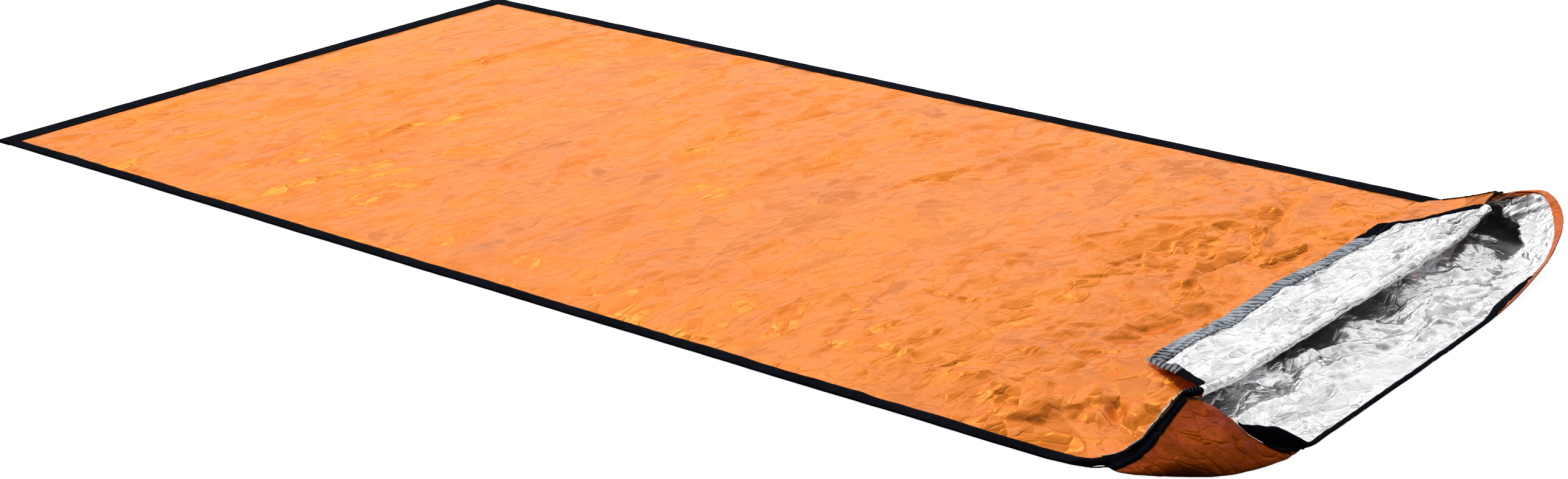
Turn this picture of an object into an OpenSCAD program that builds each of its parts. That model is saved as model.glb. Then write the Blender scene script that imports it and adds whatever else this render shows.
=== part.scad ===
// Emergency bivy sack: two rectangles of orange film lined with aluminised
// film, bound together with folded tape along both sides and the foot.
// The sack lies on the ground with its mouth folded back and its head rim open.
// +X runs from the foot to the head, +Z is up, and the origin is in the middle
// of the footprint at ground level.  All dimensions are in millimetres.

/* [Sack] */
// Overall length from the foot binding to the head rim
sack_l = 2000; // [1980:1:2020]
// Overall width across both side bindings
sack_w = 1040; // [1020:1:1060]
// Height that the loose top panel stands above the ground
crown_h = 14; // [12:0.5:16]

/* [Films] */
// Thickness of the orange outer film solids
outer_t = 0.3; // [0.2:0.05:0.4]
// Thickness of the silver lining solids
lining_t = 0.2; // [0.15:0.05:0.25]
// Space left between an outer film and its lining
film_gap = 0.1; // [0.05:0.05:0.15]

/* [Binding and hem tape] */
// Width of the folded binding tape along the near side
near_w = 20; // [18:1:22]
// Width of the folded binding tape along the far side and the foot
far_w = 28; // [24:1:30]
// Thickness of one leg of the folded binding tape
tape_t = 0.45; // [0.35:0.05:0.55]
// Width of the hem tape on the collar
hem_w = 24; // [18:1:28]
// Width of the hem tape along the head rim
rim_tape_w = 15; // [12:1:18]
// Diameter of the sewing thread
thread_d = 0.6; // [0.5:0.1:0.8]

/* [Folded mouth] */
// Distance from the foot-to-head middle to the crease that the mouth lifts from
crease_x = 738; // [734:1:742]
// Distance to the axis of the collar's fold
fold_x = 873; // [870:1:876]
// Height of the axis of the collar's fold
fold_z = 30; // [29:0.5:31]
// Radius of the collar's fold
fold_r = 6; // [5:0.5:7]
// Length of the folded-back collar, from the fold's axis to its hem
collar_l = 116; // [110:1:122]

/* [Hidden] */

film = [0.95, 0.42, 0.09];
silver = [0.78, 0.79, 0.81];
tape = [0.07, 0.08, 0.10];
thread = [0.13, 0.14, 0.16];

x0 = -sack_l / 2;          // foot edge
x1 = sack_l / 2;           // head edge
w2 = sack_w / 2;           // half width
edge = w2 - 2;             // where the film edges end inside the side bindings
near_in = w2 - near_w;     // inner edge of the near binding
far_in = w2 - far_w;       // inner edge of the far binding
seam_z = 0.7;              // height of the bottom film inside the binding
top_z = 2;                 // height of the top film inside the binding
c_lin = outer_t / 2 + film_gap + lining_t / 2;  // outer film to lining, centre to centre

function ss(t) = let (c = min(1, max(0, t))) c * c * (3 - 2 * c);
function mix(a, b, t) = a + (b - a) * t;
function unit(v) = v / max(norm(v), 1e-9);
function cr(a, b, c, d, t) = 0.5 * (2 * b + (c - a) * t
    + (2 * a - 5 * b + 4 * c - d) * t * t + (3 * b - a - 3 * c + d) * t * t * t);
// A smooth curve through the points P, with n steps between neighbours
function spline(P, n) = [for (i = [0 : len(P) - 2]) for (k = [0 : n - 1])
    cr(P[max(0, i - 1)], P[i], P[i + 1], P[min(len(P) - 1, i + 2)], k / n),
    P[len(P) - 1]];
// The point of a polyline P at the share t of its point count
function at(P, t) = let (f = min(max(t, 0), 1) * (len(P) - 1), i = min(floor(f), len(P) - 2))
    mix(P[i], P[i + 1], f - i);

// Unit normals of an open grid G of rows, each a list of points
function normals(G) = [for (i = [0 : len(G) - 1]) [for (j = [0 : len(G[0]) - 1])
    unit(cross(G[min(i + 1, len(G) - 1)][j] - G[max(i - 1, 0)][j],
               G[i][min(j + 1, len(G[0]) - 1)] - G[i][max(j - 1, 0)]))]];

// A closed solid between the offsets a and b of the grid G along its normals,
// with a < b.  Rows run along X and columns along Y on a level sheet.
module skin(G, a, b) {
    N = normals(G);
    r = len(G);
    c = len(G[0]);
    n = r * c;
    pts = concat([for (i = [0 : r - 1]) for (j = [0 : c - 1]) G[i][j] + a * N[i][j]],
                 [for (i = [0 : r - 1]) for (j = [0 : c - 1]) G[i][j] + b * N[i][j]]);
    low = [for (i = [0 : r - 2]) for (j = [0 : c - 2]) let (k = i * c + j)
        each [[k, k + c, k + 1], [k + 1, k + c, k + c + 1]]];
    high = [for (i = [0 : r - 2]) for (j = [0 : c - 2]) let (k = n + i * c + j)
        each [[k, k + 1, k + c], [k + 1, k + c + 1, k + c]]];
    rim = concat([for (j = [0 : c - 2]) j],
                 [for (i = [0 : r - 2]) i * c + c - 1],
                 [for (j = [c - 1 : -1 : 1]) (r - 1) * c + j],
                 [for (i = [r - 1 : -1 : 1]) i * c]);
    m = len(rim);
    side = [for (k = [0 : m - 1]) let (p = rim[k], q = rim[(k + 1) % m])
        each [[p, q, p + n], [q, q + n, p + n]]];
    polyhedron(points = pts, faces = concat(low, high, side));
}

// ---------------------------------------------------------------- bottom panel
// Each station around the mouth is [floor point, edge point, curl]: the film
// leaves the ground at the floor point and ends at the edge point.  A curl of
// 1 rolls it up and over, and 0 lets it rise as a ramp.
near_side_k = [
    [[crease_x - 20, -near_in + 12, 0], [crease_x - 20, -edge, seam_z], 1],
    [[790, -near_in + 12, 0], [790, -edge, seam_z], 1],
    [[838, -near_in + 10, 0], [838, -511, seam_z], 1],
    [[872, -502, 0], [862, -484, 3], 1],
    [[905, -487, 0], [869, -449, 12], 1],
    [[932, -470, 0], [868, -410, 26], 1],
    [[950, -455, 0], [864, -356, 37], 1]];
rim_k = [
    [[963, -440, 0], [895, -358, 35], 1],
    [[975, -420, 0], [926, -363, 27], 1],
    [[986, -394, 0], [955, -369, 16], 1],
    [[994, -362, 0], [980, -358, 7], 0.8],
    [[x1 - 8, -325, 0], [x1 - 1.6, -326, 1.2], 0],
    [[960, -270, 0], [x1 - 0.6, -275, 0.4], 0],
    [[945, -180, 0], [x1 - 0.4, -190, 0.3], 0],
    [[940, -50, 0], [x1 - 0.4, -50, 0.3], 0],
    [[940, 90, 0], [x1 - 1, 95, 0.4], 0],
    [[945, 180, 0], [x1 - 2, 190, 4], 0],
    [[945, 255, 0], [x1 - 4, 270, 15], 0],
    [[935, 325, 0], [x1 - 11, 345, 28], 0.1],
    [[918, 385, 0], [974, 408, 42], 0.2],
    [[905, 435, 0], [949, 452, 53], 0.3],
    [[893, 470, 0], [920, 474, 58], 0.5],
    [[886, 495, 0], [893, 466, 55], 0.8]];
far_side_k = [
    [[876, 507, 0], [866, 450, 47], 1],
    [[862, 510, 0], [857, 480, 41], 1],
    [[840, 512, 0], [836, 499, 29], 1],
    [[806, 507, 0], [804, 510, 15], 1],
    [[772, 494, 0], [772, edge - 2, 4], 1],
    [[746, far_in - 12, 0], [746, edge, seam_z], 1],
    [[crease_x - 20, far_in - 12, 0], [crease_x - 20, edge, seam_z], 1]];

function side_k(x, s) = [[x, s * (s < 0 ? near_in - 12 : far_in - 12), 0], [x, s * edge, seam_z], 1];
foot_in = x0 + far_w;      // inner edge of the foot binding
foot_ys = [for (k = [-4 : 4]) k / 4 * (w2 - 60)];
straight_xs = [for (k = [0 : 8]) mix(foot_in + 30, crease_x - 90, k / 8)];
// Stations between the given ones, n steps apart
function finer(K, n) = let (F = spline([for (s = K) s[0]], n), E = spline([for (s = K) s[1]], n))
    [for (i = [0 : len(F) - 1]) let (t = i / n, j = min(floor(t), len(K) - 2))
        [F[i], E[i], mix(K[j][2], K[j + 1][2], t - j)]];
near_f = finer(near_side_k, 2);
far_f = finer(far_side_k, 2);
head_f = finer(concat([near_side_k[6]], rim_k, [far_side_k[0]]), 2);
head_n = len(head_f) - 1;
loop_k = concat(
    [for (x = straight_xs) side_k(x, -1)], near_f,
    [for (i = [1 : head_n - 1]) head_f[i]], far_f,
    [for (k = [8 : -1 : 0]) side_k(straight_xs[k], 1)],
    [[[foot_in + 14, far_in - 14, 0], [x0 + 6, edge - 4, seam_z], 1]],
    [for (k = [8 : -1 : 0]) [[foot_in + 12, foot_ys[k], 0], [x0 + 2, foot_ys[k], seam_z], 1]],
    [[[foot_in + 14, -near_in + 14, 0], [x0 + 3, -edge + 1, seam_z], 1]]);

// A point inside the floor outline, opposite the floor point f
function inner_pt(f) = [f[0] > 600 ? mix(f[0], 600, 0.14) : f[0] * 0.955, f[1] * 0.86, 0];
// The film at the share r of the way from the floor point to the edge point
function rise(s, r) = let (f = s[0], e = s[1], w = s[2],
        h = mix(r, 1 - cos(90 * r), w), v = mix(pow(r, 1.6), sin(90 * r), w))
    [mix(f[0], e[0], h), mix(f[1], e[1], h), e[2] * v];
steps = 5;
function profile(s) = concat([inner_pt(s[0])], [for (k = [0 : steps]) rise(s, k / steps)]);
// The point at the distance d from the edge, measured back along the profile
function back_along(P, d, i) = let (l = norm(P[i] - P[i - 1]))
    (d <= l || i == 1) ? P[i] + (P[i - 1] - P[i]) * (d / l) : back_along(P, d - l, i - 1);
function from_edge(s, d) = let (P = profile(s)) back_along(P, d, len(P) - 1);

ring_g = [for (s = loop_k) profile(s)];
function ring_n(i, j) = let (m = len(ring_g), c = len(ring_g[0]))
    j < 2 ? [0, 0, 1] :
    unit(cross(ring_g[(i + 1) % m][j] - ring_g[(i + m - 1) % m][j],
               ring_g[i][max(j - 1, 0)] - ring_g[i][min(j + 1, c - 1)]));

// The bottom film between the offsets a and b towards the inside of the sack
module tray(a, b) {
    m = len(ring_g);
    c = len(ring_g[0]);
    n = m * c;
    function off(j, h, q) = ring_g[q][j] + (j < 2 ? [0, 0, h] : h * ring_n(q, j));
    pts = concat([for (i = [0 : m - 1]) for (j = [0 : c - 1]) off(j, a, i)],
                 [for (i = [0 : m - 1]) for (j = [0 : c - 1]) off(j, b, i)],
                 [[0, 0, a], [0, 0, b]]);
    low = [for (i = [0 : m - 1]) for (j = [0 : c - 2])
        let (p = i * c + j, q = ((i + 1) % m) * c + j)
        each [[p, q, p + 1], [q, q + 1, p + 1]]];
    high = [for (t = low) [t[0] + n, t[2] + n, t[1] + n]];
    side = [for (i = [0 : m - 1]) let (p = i * c + c - 1, q = ((i + 1) % m) * c + c - 1)
        each [[p, q, p + n], [q, q + n, p + n]]];
    floor_cap = [for (i = [0 : m - 1]) [((i + 1) % m) * c, i * c, 2 * n]];
    lining_cap = [for (i = [0 : m - 1]) [i * c + n, ((i + 1) % m) * c + n, 2 * n + 1]];
    polyhedron(points = pts, faces = concat(low, high, side, floor_cap, lining_cap));
}

module bottom_panel_outer() { color(film) tray(0, outer_t); }
module bottom_panel_lining() {
    color(silver) tray(outer_t + film_gap, outer_t + film_gap + lining_t);
}

// ------------------------------------------------------------------- top panel
// Height of the loose top film at x, y
function crown(x, y) = top_z + (crown_h - top_z) * ss((y + near_in) / 100)
    * ss((far_in - y) / 100) * ss((x - foot_in) / 110);
top_xs = concat([x0 + 2], [for (k = [0 : 4]) foot_in + 27 * k],
    [for (k = [1 : 8]) mix(foot_in + 136, crease_x - 0.4, k / 8)]);
top_ys = concat([-edge], [for (k = [0 : 4]) -near_in + 25 * k],
    [for (k = [-3 : 3]) k / 3 * (near_in - 170)],
    [for (k = [4 : -1 : 0]) far_in - 25 * k], [edge]);
top_g = [for (x = top_xs) [for (y = top_ys) [x, y, crown(x, y)]]];

module top_panel_outer() { color(film) skin(top_g, -outer_t / 2, outer_t / 2); }
module top_panel_lining() {
    color(silver) skin(top_g, -c_lin - lining_t / 2, -c_lin + lining_t / 2);
}

// The mouth end of the top panel, between the crease and the fold.  Its sides
// run just inside the side bindings and climb to the ends of the seams.
mouth_near = spline([[crease_x + 0.4, -near_in + 0.6, top_z], [795, -near_in + 1, 2.2],
    [836, -491, 3.5], [856, -468, 7], [863, -444, 14], [863, -406, 28], [860, -352, 39]], 4);
mouth_far = spline([[crease_x + 0.4, far_in - 0.6, top_z], [770, 504, 6],
    [802, 505, 16], [833, 494, 31], [853, 474, 43], [860, 444, 49]], 4);
mouth_rows = 10;
mouth_cols = 22;
function mouth_pt(u, v) = let (n = at(mouth_near, u), f = at(mouth_far, u),
        e = ss(v / 0.13) * ss((1 - v) / 0.13),
        x = mix(crease_x + 0.4, fold_x - 3, u),
        z = mix(crown_h, fold_z - fold_r - 1, pow(u, 1.3)))
    [mix(v < 0.5 ? n[0] : f[0], x, e), mix(n[1], f[1], v), mix(v < 0.5 ? n[2] : f[2], z, e)];
// Columns lie closer together near both seams
function spread(t) = t - 0.11 * sin(360 * t);
mouth_g = [for (i = [0 : mouth_rows]) [for (j = [0 : mouth_cols])
    mouth_pt(i / mouth_rows, spread(j / mouth_cols))]];

module mouth_panel_outer() { color(film) skin(mouth_g, -outer_t / 2, outer_t / 2); }
module mouth_panel_lining() {
    color(silver) skin(mouth_g, -c_lin - lining_t / 2, -c_lin + lining_t / 2);
}

// ---------------------------------------------------------------------- collar
// The collar starts under the fold, turns over it and lies back over the mouth
// panel with its silver side up.  q runs along it and p from the fold to the hem.
hem_x = fold_x - collar_l;
function collar_near(p) = mix(-342, -252, pow(p, 0.9));
function collar_far(p) = mix(402, 338, p);
// How far the ends of the fold are held up by the ends of the seams
function end_lift(y) = 6 * ss((-262 - y) / 80) + 14 * ss((y - 300) / 105);
function collar_pt(p, q) = let (y = mix(collar_near(p), collar_far(p), q),
        z0 = fold_z + fold_r + end_lift(y), z1 = crown_h + 6 + 9 * ss((y - 230) / 110) + 3 * ss((-200 - y) / 50))
    [fold_x - collar_l * p, y, mix(z0, z1, ss(p * 0.5 + 0.5) * 2 - 1) + 1.5 * sin(180 * p)];
function bend_pt(a, q) = let (y = mix(collar_near(0), collar_far(0), q))
    [fold_x + fold_r * cos(a), y, fold_z + end_lift(y) + fold_r * sin(a)];
collar_qs = [for (k = [0 : 18]) spread(k / 18)];
bend_as = [-60, -30, 0, 30, 60];
collar_ps = [0, 0.14, 0.3, 0.46, 0.62, 0.8, 1];
collar_g = concat([for (a = bend_as) [for (q = collar_qs) bend_pt(a, q)]],
    [for (p = collar_ps) [for (q = collar_qs) collar_pt(p, q)]]);

// Rows run from the fold back to the hem, so the normals point down, into the
// outer film's side
module collar_lining() { color(silver) skin(collar_g, -lining_t / 2, lining_t / 2); }
module collar_outer() { color(film) skin(collar_g, c_lin - outer_t / 2, c_lin + outer_t / 2); }

// The hem tape lies on the silver side, along the hem and both slanting ends
hem_line = concat(
    [for (k = [0 : 6]) collar_pt(0.05 + 0.95 * k / 6, 0)],
    [for (k = [1 : 15]) collar_pt(1, k / 16)],
    [for (k = [6 : -1 : 0]) collar_pt(0.05 + 0.95 * k / 6, 1)]);
hem_in = let (d = hem_w / collar_l) concat(
    [for (k = [0 : 6]) collar_pt(0.05 + (0.95 - d) * k / 6, 0.028)],
    [for (k = [1 : 15]) collar_pt(1 - d, mix(0.032, 0.968, k / 16))],
    [for (k = [6 : -1 : 0]) collar_pt(0.05 + (0.95 - d) * k / 6, 0.972)]);
function ribbon(A, B, n) = [for (k = [0 : n]) [for (i = [0 : len(A) - 1]) mix(A[i], B[i], k / n)]];
module collar_hem_tape() { color(tape) skin(ribbon(hem_line, hem_in, 2), 0.6, 1.6); }
module collar_hem_stitching() {
    color(thread) skin([for (t = [0.79, 0.82]) [for (i = [0 : len(hem_line) - 1]) mix(hem_line[i], hem_in[i], t)]],
        1.7, 2.1);
}

// -------------------------------------------------------------------- bindings
leg_h = 2 * tape_t + 1.9;
// Section of the folded tape, with its fold at y = 0 and its legs towards +y
module tape_section(w) {
    polygon([[0, 0.3], [0.3, 0], [w, 0], [w, tape_t], [0.8, tape_t], [0.8, leg_h - tape_t],
        [w, leg_h - tape_t], [w, leg_h], [0.3, leg_h], [0, leg_h - 0.3]]);
}
// A straight length w wide of folded tape along +X from x = a to x = b, at y = -half width
module side_tape(a, b, w) {
    translate([a, -w2, 0]) rotate([90, 0, 90]) linear_extrude(b - a) tape_section(w);
}
// The end of a side tape, which turns up on the outside of the film
module end_tape(S, a, b, widths) {
    n = len(S) - 1;
    skin([for (d = a < b ? [0, 0.5, 1] : [1, 0.5, 0]) [for (i = [0 : n])
        from_edge(S[i], 0.5 + mix(widths[0], widths[1], ss(2 * i / n)) * d)]], 0.9, 2.1);
}
near_end = [for (i = [7 : len(near_f) - 1]) near_f[i]];
far_end = [for (i = [6 : -1 : 0]) far_f[i]];

module near_side_binding() {
    color(tape) {
        side_tape(foot_in + 0.5, 836, near_w);
        end_tape(near_end, 0, 1, [10, 18]);
    }
}
module far_side_binding() {
    color(tape) {
        mirror([0, 1, 0]) side_tape(foot_in + 0.5, crease_x - 0.5, far_w);
        end_tape(far_end, 1, 0, [10, 18]);
    }
}
module foot_binding() {
    color(tape) difference() {
        translate([x0, w2, 0]) rotate([90, 0, 0]) linear_extrude(sack_w) tape_section(far_w);
        // the far corner is turned in and rounded off
        translate([x0 - 1, w2 - 10, -1]) difference() {
            cube([11, 11, leg_h + 2]);
            translate([11, 0, -1]) cylinder(r = 10, h = leg_h + 4, $fn = 48);
        }
    }
}

// A row of thread along +X on a side binding, 4 mm from its inner edge
module seam_thread(a, b, w) {
    translate([a, -w2 + w - 4, leg_h + thread_d / 2]) rotate([0, 90, 0])
        cylinder(d = thread_d, h = b - a, $fn = 24);
}
module near_side_stitching() { color(thread) seam_thread(foot_in + 4, 834, near_w); }
module far_side_stitching() { color(thread) mirror([0, 1, 0]) seam_thread(foot_in + 4, crease_x - 2, far_w); }
module foot_stitching() {
    color(thread) translate([foot_in - 4, w2 - 12, leg_h + thread_d / 2]) rotate([90, 0, 0])
        cylinder(d = thread_d, h = sack_w - 24, $fn = 24);
}

// ------------------------------------------------------------------- head rim
// Hem tape on the silver side of the bottom panel's free edge
rim_s = [for (i = [1 : head_n - 1]) head_f[i]];
function rim_w(i) = rim_tape_w + 6 * ss((8 - i) / 5);
rim_ds = [1, 0.75, 0.5, 0.25, 0];
function rim_row(d) = [for (i = [0 : len(rim_s) - 1]) from_edge(rim_s[i], 0.4 + rim_w(i) * d)];
module head_rim_tape() { color(tape) skin([for (d = rim_ds) rim_row(d)], 1.1, 1.7); }
module head_rim_stitching() { color(thread) skin([rim_row(0.80), rim_row(0.76)], 2.0, 2.4); }

// Close stitching that locks the end of each side seam
module bartack() {
    for (k = [-2 : 2]) translate([0, k * 1.8, 0]) rotate([0, 90, 0])
        cylinder(d = 1.2, h = 12, center = true, $fn = 16);
}
module near_seam_bartack() { color(thread) translate([874, -366, 41]) rotate([0, 0, -40]) bartack(); }
module far_seam_bartack() { color(thread) translate([872, 460, 52.5]) rotate([0, 0, 70]) bartack(); }

bottom_panel_outer();
bottom_panel_lining();
top_panel_outer();
top_panel_lining();
near_side_binding();
far_side_binding();
foot_binding();
near_side_stitching();
far_side_stitching();
foot_stitching();
head_rim_tape();
head_rim_stitching();
near_seam_bartack();
far_seam_bartack();
mouth_panel_outer();
mouth_panel_lining();
collar_outer();
collar_lining();
collar_hem_tape();
collar_hem_stitching();
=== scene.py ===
"""Looks of the emergency bivy sack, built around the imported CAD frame.

Lengths in this script are in millimetres in the row's own frame, and make()
turns them into metres.  Every film is a single crinkled surface: the orange
outer film and its silver lining are two surfaces a film's thickness apart.
"""

import math

import bpy
import numpy as np
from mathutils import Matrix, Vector
from mathutils.geometry import delaunay_2d_cdt


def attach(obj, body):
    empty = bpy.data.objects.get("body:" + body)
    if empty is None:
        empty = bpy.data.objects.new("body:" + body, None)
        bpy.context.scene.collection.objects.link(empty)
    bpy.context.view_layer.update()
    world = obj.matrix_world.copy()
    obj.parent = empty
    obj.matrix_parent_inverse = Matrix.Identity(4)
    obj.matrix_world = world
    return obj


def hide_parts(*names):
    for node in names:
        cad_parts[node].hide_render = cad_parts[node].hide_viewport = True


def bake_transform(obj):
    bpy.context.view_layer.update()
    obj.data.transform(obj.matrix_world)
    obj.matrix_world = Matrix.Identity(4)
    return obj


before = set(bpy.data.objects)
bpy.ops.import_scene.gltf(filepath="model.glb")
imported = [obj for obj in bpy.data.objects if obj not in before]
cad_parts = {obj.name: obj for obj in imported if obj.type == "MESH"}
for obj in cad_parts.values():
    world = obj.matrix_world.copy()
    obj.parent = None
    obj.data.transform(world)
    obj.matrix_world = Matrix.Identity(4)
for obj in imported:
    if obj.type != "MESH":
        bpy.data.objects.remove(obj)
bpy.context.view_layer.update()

# ------------------------------------------------------------------ dimensions
HALF_W, HALF_L = 520.0, 1000.0
NEAR_W, FAR_W = 20.0, 28.0
NEAR_IN, FAR_IN = HALF_W - NEAR_W, HALF_W - FAR_W
FOOT_IN = -HALF_L + FAR_W
EDGE = HALF_W - 2.0
SEAM_Z, TOP_Z, CROWN = 0.7, 2.0, 12.0
CREASE_X, FOLD_X, FOLD_Z, FOLD_R, COLLAR_L = 738.0, 873.0, 30.0, 6.0, 116.0
GAP = 0.45                      # outer film to lining
LEG = 2.8                       # height of a folded binding


def ss(t):
    c = np.clip(t, 0.0, 1.0)
    return c * c * (3 - 2 * c)


def mix(a, b, t):
    return a + (b - a) * t


def unit(v):
    return v / np.maximum(np.linalg.norm(v, axis=-1, keepdims=True), 1e-9)


def curve(P, n):
    """Catmull-Rom curve through the rows of P; n is the steps per span, or one number for each span."""
    P = np.asarray(P, float)
    n = [n] * (len(P) - 1) if np.isscalar(n) else n
    out = []
    for i, k in enumerate(n):
        a, b, c, d = P[max(0, i - 1)], P[i], P[i + 1], P[min(len(P) - 1, i + 2)]
        t = (np.arange(k) / k)[:, None]
        out.append(0.5 * (2 * b + (c - a) * t + (2 * a - 5 * b + 4 * c - d) * t * t + (3 * b - a - 3 * c + d) * t ** 3))
    out.append(P[-1:])
    return np.concatenate(out)


def resample(P, count):
    """The polyline P at count places equally far apart along it."""
    s = np.concatenate([[0], np.cumsum(np.linalg.norm(np.diff(P, axis=0), axis=1))])
    t = np.linspace(0, s[-1], count)
    return np.stack([np.interp(t, s, P[:, k]) for k in range(P.shape[1])], 1)


# -------------------------------------------------------------------- crinkles
class Facets:
    """A height field of flat facets that meet in sharp creases. It repeats over the unit square."""

    def __init__(self, seed, count, size=640):
        rng = np.random.default_rng(seed)
        side = int(round(math.sqrt(count)))
        cells = np.stack(np.meshgrid(np.arange(side), np.arange(side)), -1).reshape(-1, 2)
        pts = (cells + 0.5 + (rng.random(cells.shape) - 0.5) * 1.35) / side % 1.0
        hs = rng.random(len(pts)) * 2 - 1
        all_p, all_h = [], []
        m = 2.2 / side
        for dx in (-1, 0, 1):
            for dy in (-1, 0, 1):
                q = pts + (dx, dy)
                keep = (q > -m).all(1) & (q < 1 + m).all(1)
                all_p.append(q[keep])
                all_h.append(hs[keep])
        p, h = np.concatenate(all_p), np.concatenate(all_h)
        made = delaunay_2d_cdt([Vector(q) for q in p], [], [], 0, 1e-7)
        where = np.array([o[0] if len(o) else 0 for o in made[3]])
        v = np.array([list(q) for q in made[0]])
        hv = h[where]
        grid = np.zeros((size, size))
        for tri in made[2]:
            a, b, c = v[tri[0]], v[tri[1]], v[tri[2]]
            lo = np.maximum(np.ceil(np.minimum(np.minimum(a, b), c) * size - 0.5).astype(int), 0)
            hi = np.minimum(np.floor(np.maximum(np.maximum(a, b), c) * size - 0.5).astype(int), size - 1)
            if (hi < lo).any():
                continue
            det = (b[0] - a[0]) * (c[1] - a[1]) - (c[0] - a[0]) * (b[1] - a[1])
            if abs(det) < 1e-12:
                continue
            X, Y = np.meshgrid((np.arange(lo[0], hi[0] + 1) + 0.5) / size, (np.arange(lo[1], hi[1] + 1) + 0.5) / size)
            wb = ((X - a[0]) * (c[1] - a[1]) - (c[0] - a[0]) * (Y - a[1])) / det
            wc = ((b[0] - a[0]) * (Y - a[1]) - (X - a[0]) * (b[1] - a[1])) / det
            inside = (wb > -1e-6) & (wc > -1e-6) & (wb + wc < 1 + 1e-6)
            val = hv[tri[0]] * (1 - wb - wc) + hv[tri[1]] * wb + hv[tri[2]] * wc
            block = grid[lo[1]:hi[1] + 1, lo[0]:hi[0] + 1]
            block[inside] = val[inside]
        self.grid, self.size, self.side = grid, size, side

    def __call__(self, x, y, fx, fy, turn=0.0, shift=(0.0, 0.0)):
        """Heights at x, y with facets about fx by fy in size, turned by turn degrees."""
        c, s = math.cos(math.radians(turn)), math.sin(math.radians(turn))
        u = ((x * c + y * s) / (fx * self.side) + shift[0]) * self.size - 0.5
        v = ((y * c - x * s) / (fy * self.side) + shift[1]) * self.size - 0.5
        i, j = np.floor(u).astype(int), np.floor(v).astype(int)
        fu, fv = u - i, v - j
        i0, i1, j0, j1 = i % self.size, (i + 1) % self.size, j % self.size, (j + 1) % self.size
        g = self.grid
        return ((g[j0, i0] * (1 - fu) + g[j0, i1] * fu) * (1 - fv) + (g[j1, i0] * (1 - fu) + g[j1, i1] * fu) * fv)


F1, F2, F3, F4 = Facets(11, 400), Facets(23, 576), Facets(37, 576), Facets(53, 900, 900)


def waves(x, y, size, seed):
    """Smooth noise of about -1 to 1 with features about size across."""
    rng = np.random.default_rng(seed)
    out = np.zeros(np.broadcast(x, y).shape)
    for _ in range(7):
        a, k, p = rng.random() * 2 * math.pi, (0.6 + 0.8 * rng.random()) * math.pi / size, rng.random() * 2 * math.pi
        out = out + np.sin((x * math.cos(a) + y * math.sin(a)) * k + p)
    return out / 3.2


def crease_lines(x, y, lines):
    """Sharp folds: each line is (x, y, x, y, height, half width). A negative height is a valley."""
    out = np.zeros(np.broadcast(x, y).shape)
    for ax, ay, bx, by, h, w in lines:
        near = ((x > min(ax, bx) - 3 * w) & (x < max(ax, bx) + 3 * w) & (y > min(ay, by) - 3 * w) & (y < max(ay, by) + 3 * w))
        if not near.any():
            continue
        px, py = x[near], y[near]
        L = math.hypot(bx - ax, by - ay)
        ux, uy = (bx - ax) / L, (by - ay) / L
        t = ((px - ax) * ux + (py - ay) * uy) / L
        bow = 0.05 * L * np.sin(math.pi * np.clip(t, 0, 1)) * (1 if h > 0 else -1)
        d = (px - ax) * -uy + (py - ay) * ux - bow
        end = ss(t / 0.18) * ss((1 - t) / 0.18)
        # one flank is steep and the other is a long slope, as where film buckles
        flank = np.where(d > 0, 1 - d / w, 1 + d / (2.2 * w))
        out[near] += h * end * np.clip(flank, 0, None)
    return out


def random_lines(seed, count, box, length, height, width, lean, spread):
    rng = np.random.default_rng(seed)
    out = []
    for _ in range(count):
        cx, cy = mix(box[0], box[1], rng.random()), mix(box[2], box[3], rng.random())
        L = mix(length[0], length[1], rng.random() ** 1.8)
        a = math.radians(lean + spread * rng.normal())
        h = mix(height[0], height[1], rng.random()) * (1 if rng.random() < 0.6 else -1)
        w = mix(width[0], width[1], rng.random())
        dx, dy = math.sin(a) * L / 2, math.cos(a) * L / 2
        out.append((cx - dx, cy - dy, cx + dx, cy + dy, h, w))
    return out


LONG_CREASES = [
    (-514, -500, -450, -181, 2.2, 9), (-515, -470, -516, -311, 1.6, 7), (-369, -500, -353, -402, 1.8, 7),
    (-613, -348, -634, 104, 2.0, 10), (-552, -180, -604, 58, 1.8, 8), (-952, -480, -837, -341, 2.0, 9),
    (-111, -35, -112, 32, 2.0, 6), (-25, 14, -26, 167, 1.8, 7), (185, -355, 167, -151, 2.0, 7),
    (323, -480, 334, -239, 2.2, 8), (408, -405, 391, -309, -2.4, 6), (-232, -412, -351, -26, 2.0, 10),
    (387, -270, 365, -229, -2.0, 5), (-269, -268, -169, -296, 1.8, 6), (48, 108, 120, 127, 1.8, 7),
    (-720, -60, -735, 290, 2.0, 9), (-420, 120, -470, 420, 1.8, 9), (-250, 60, -275, 380, 2.2, 10),
    (60, -420, 35, -180, 1.8, 8), (240, 40, 205, 330, 2.0, 9), (-880, -120, -905, 250, 1.6, 9),
] + random_lines(5, 150, (-960, 640, -480, 480), (50, 260), (0.5, 1.5), (3, 7), -3, 13)
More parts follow.
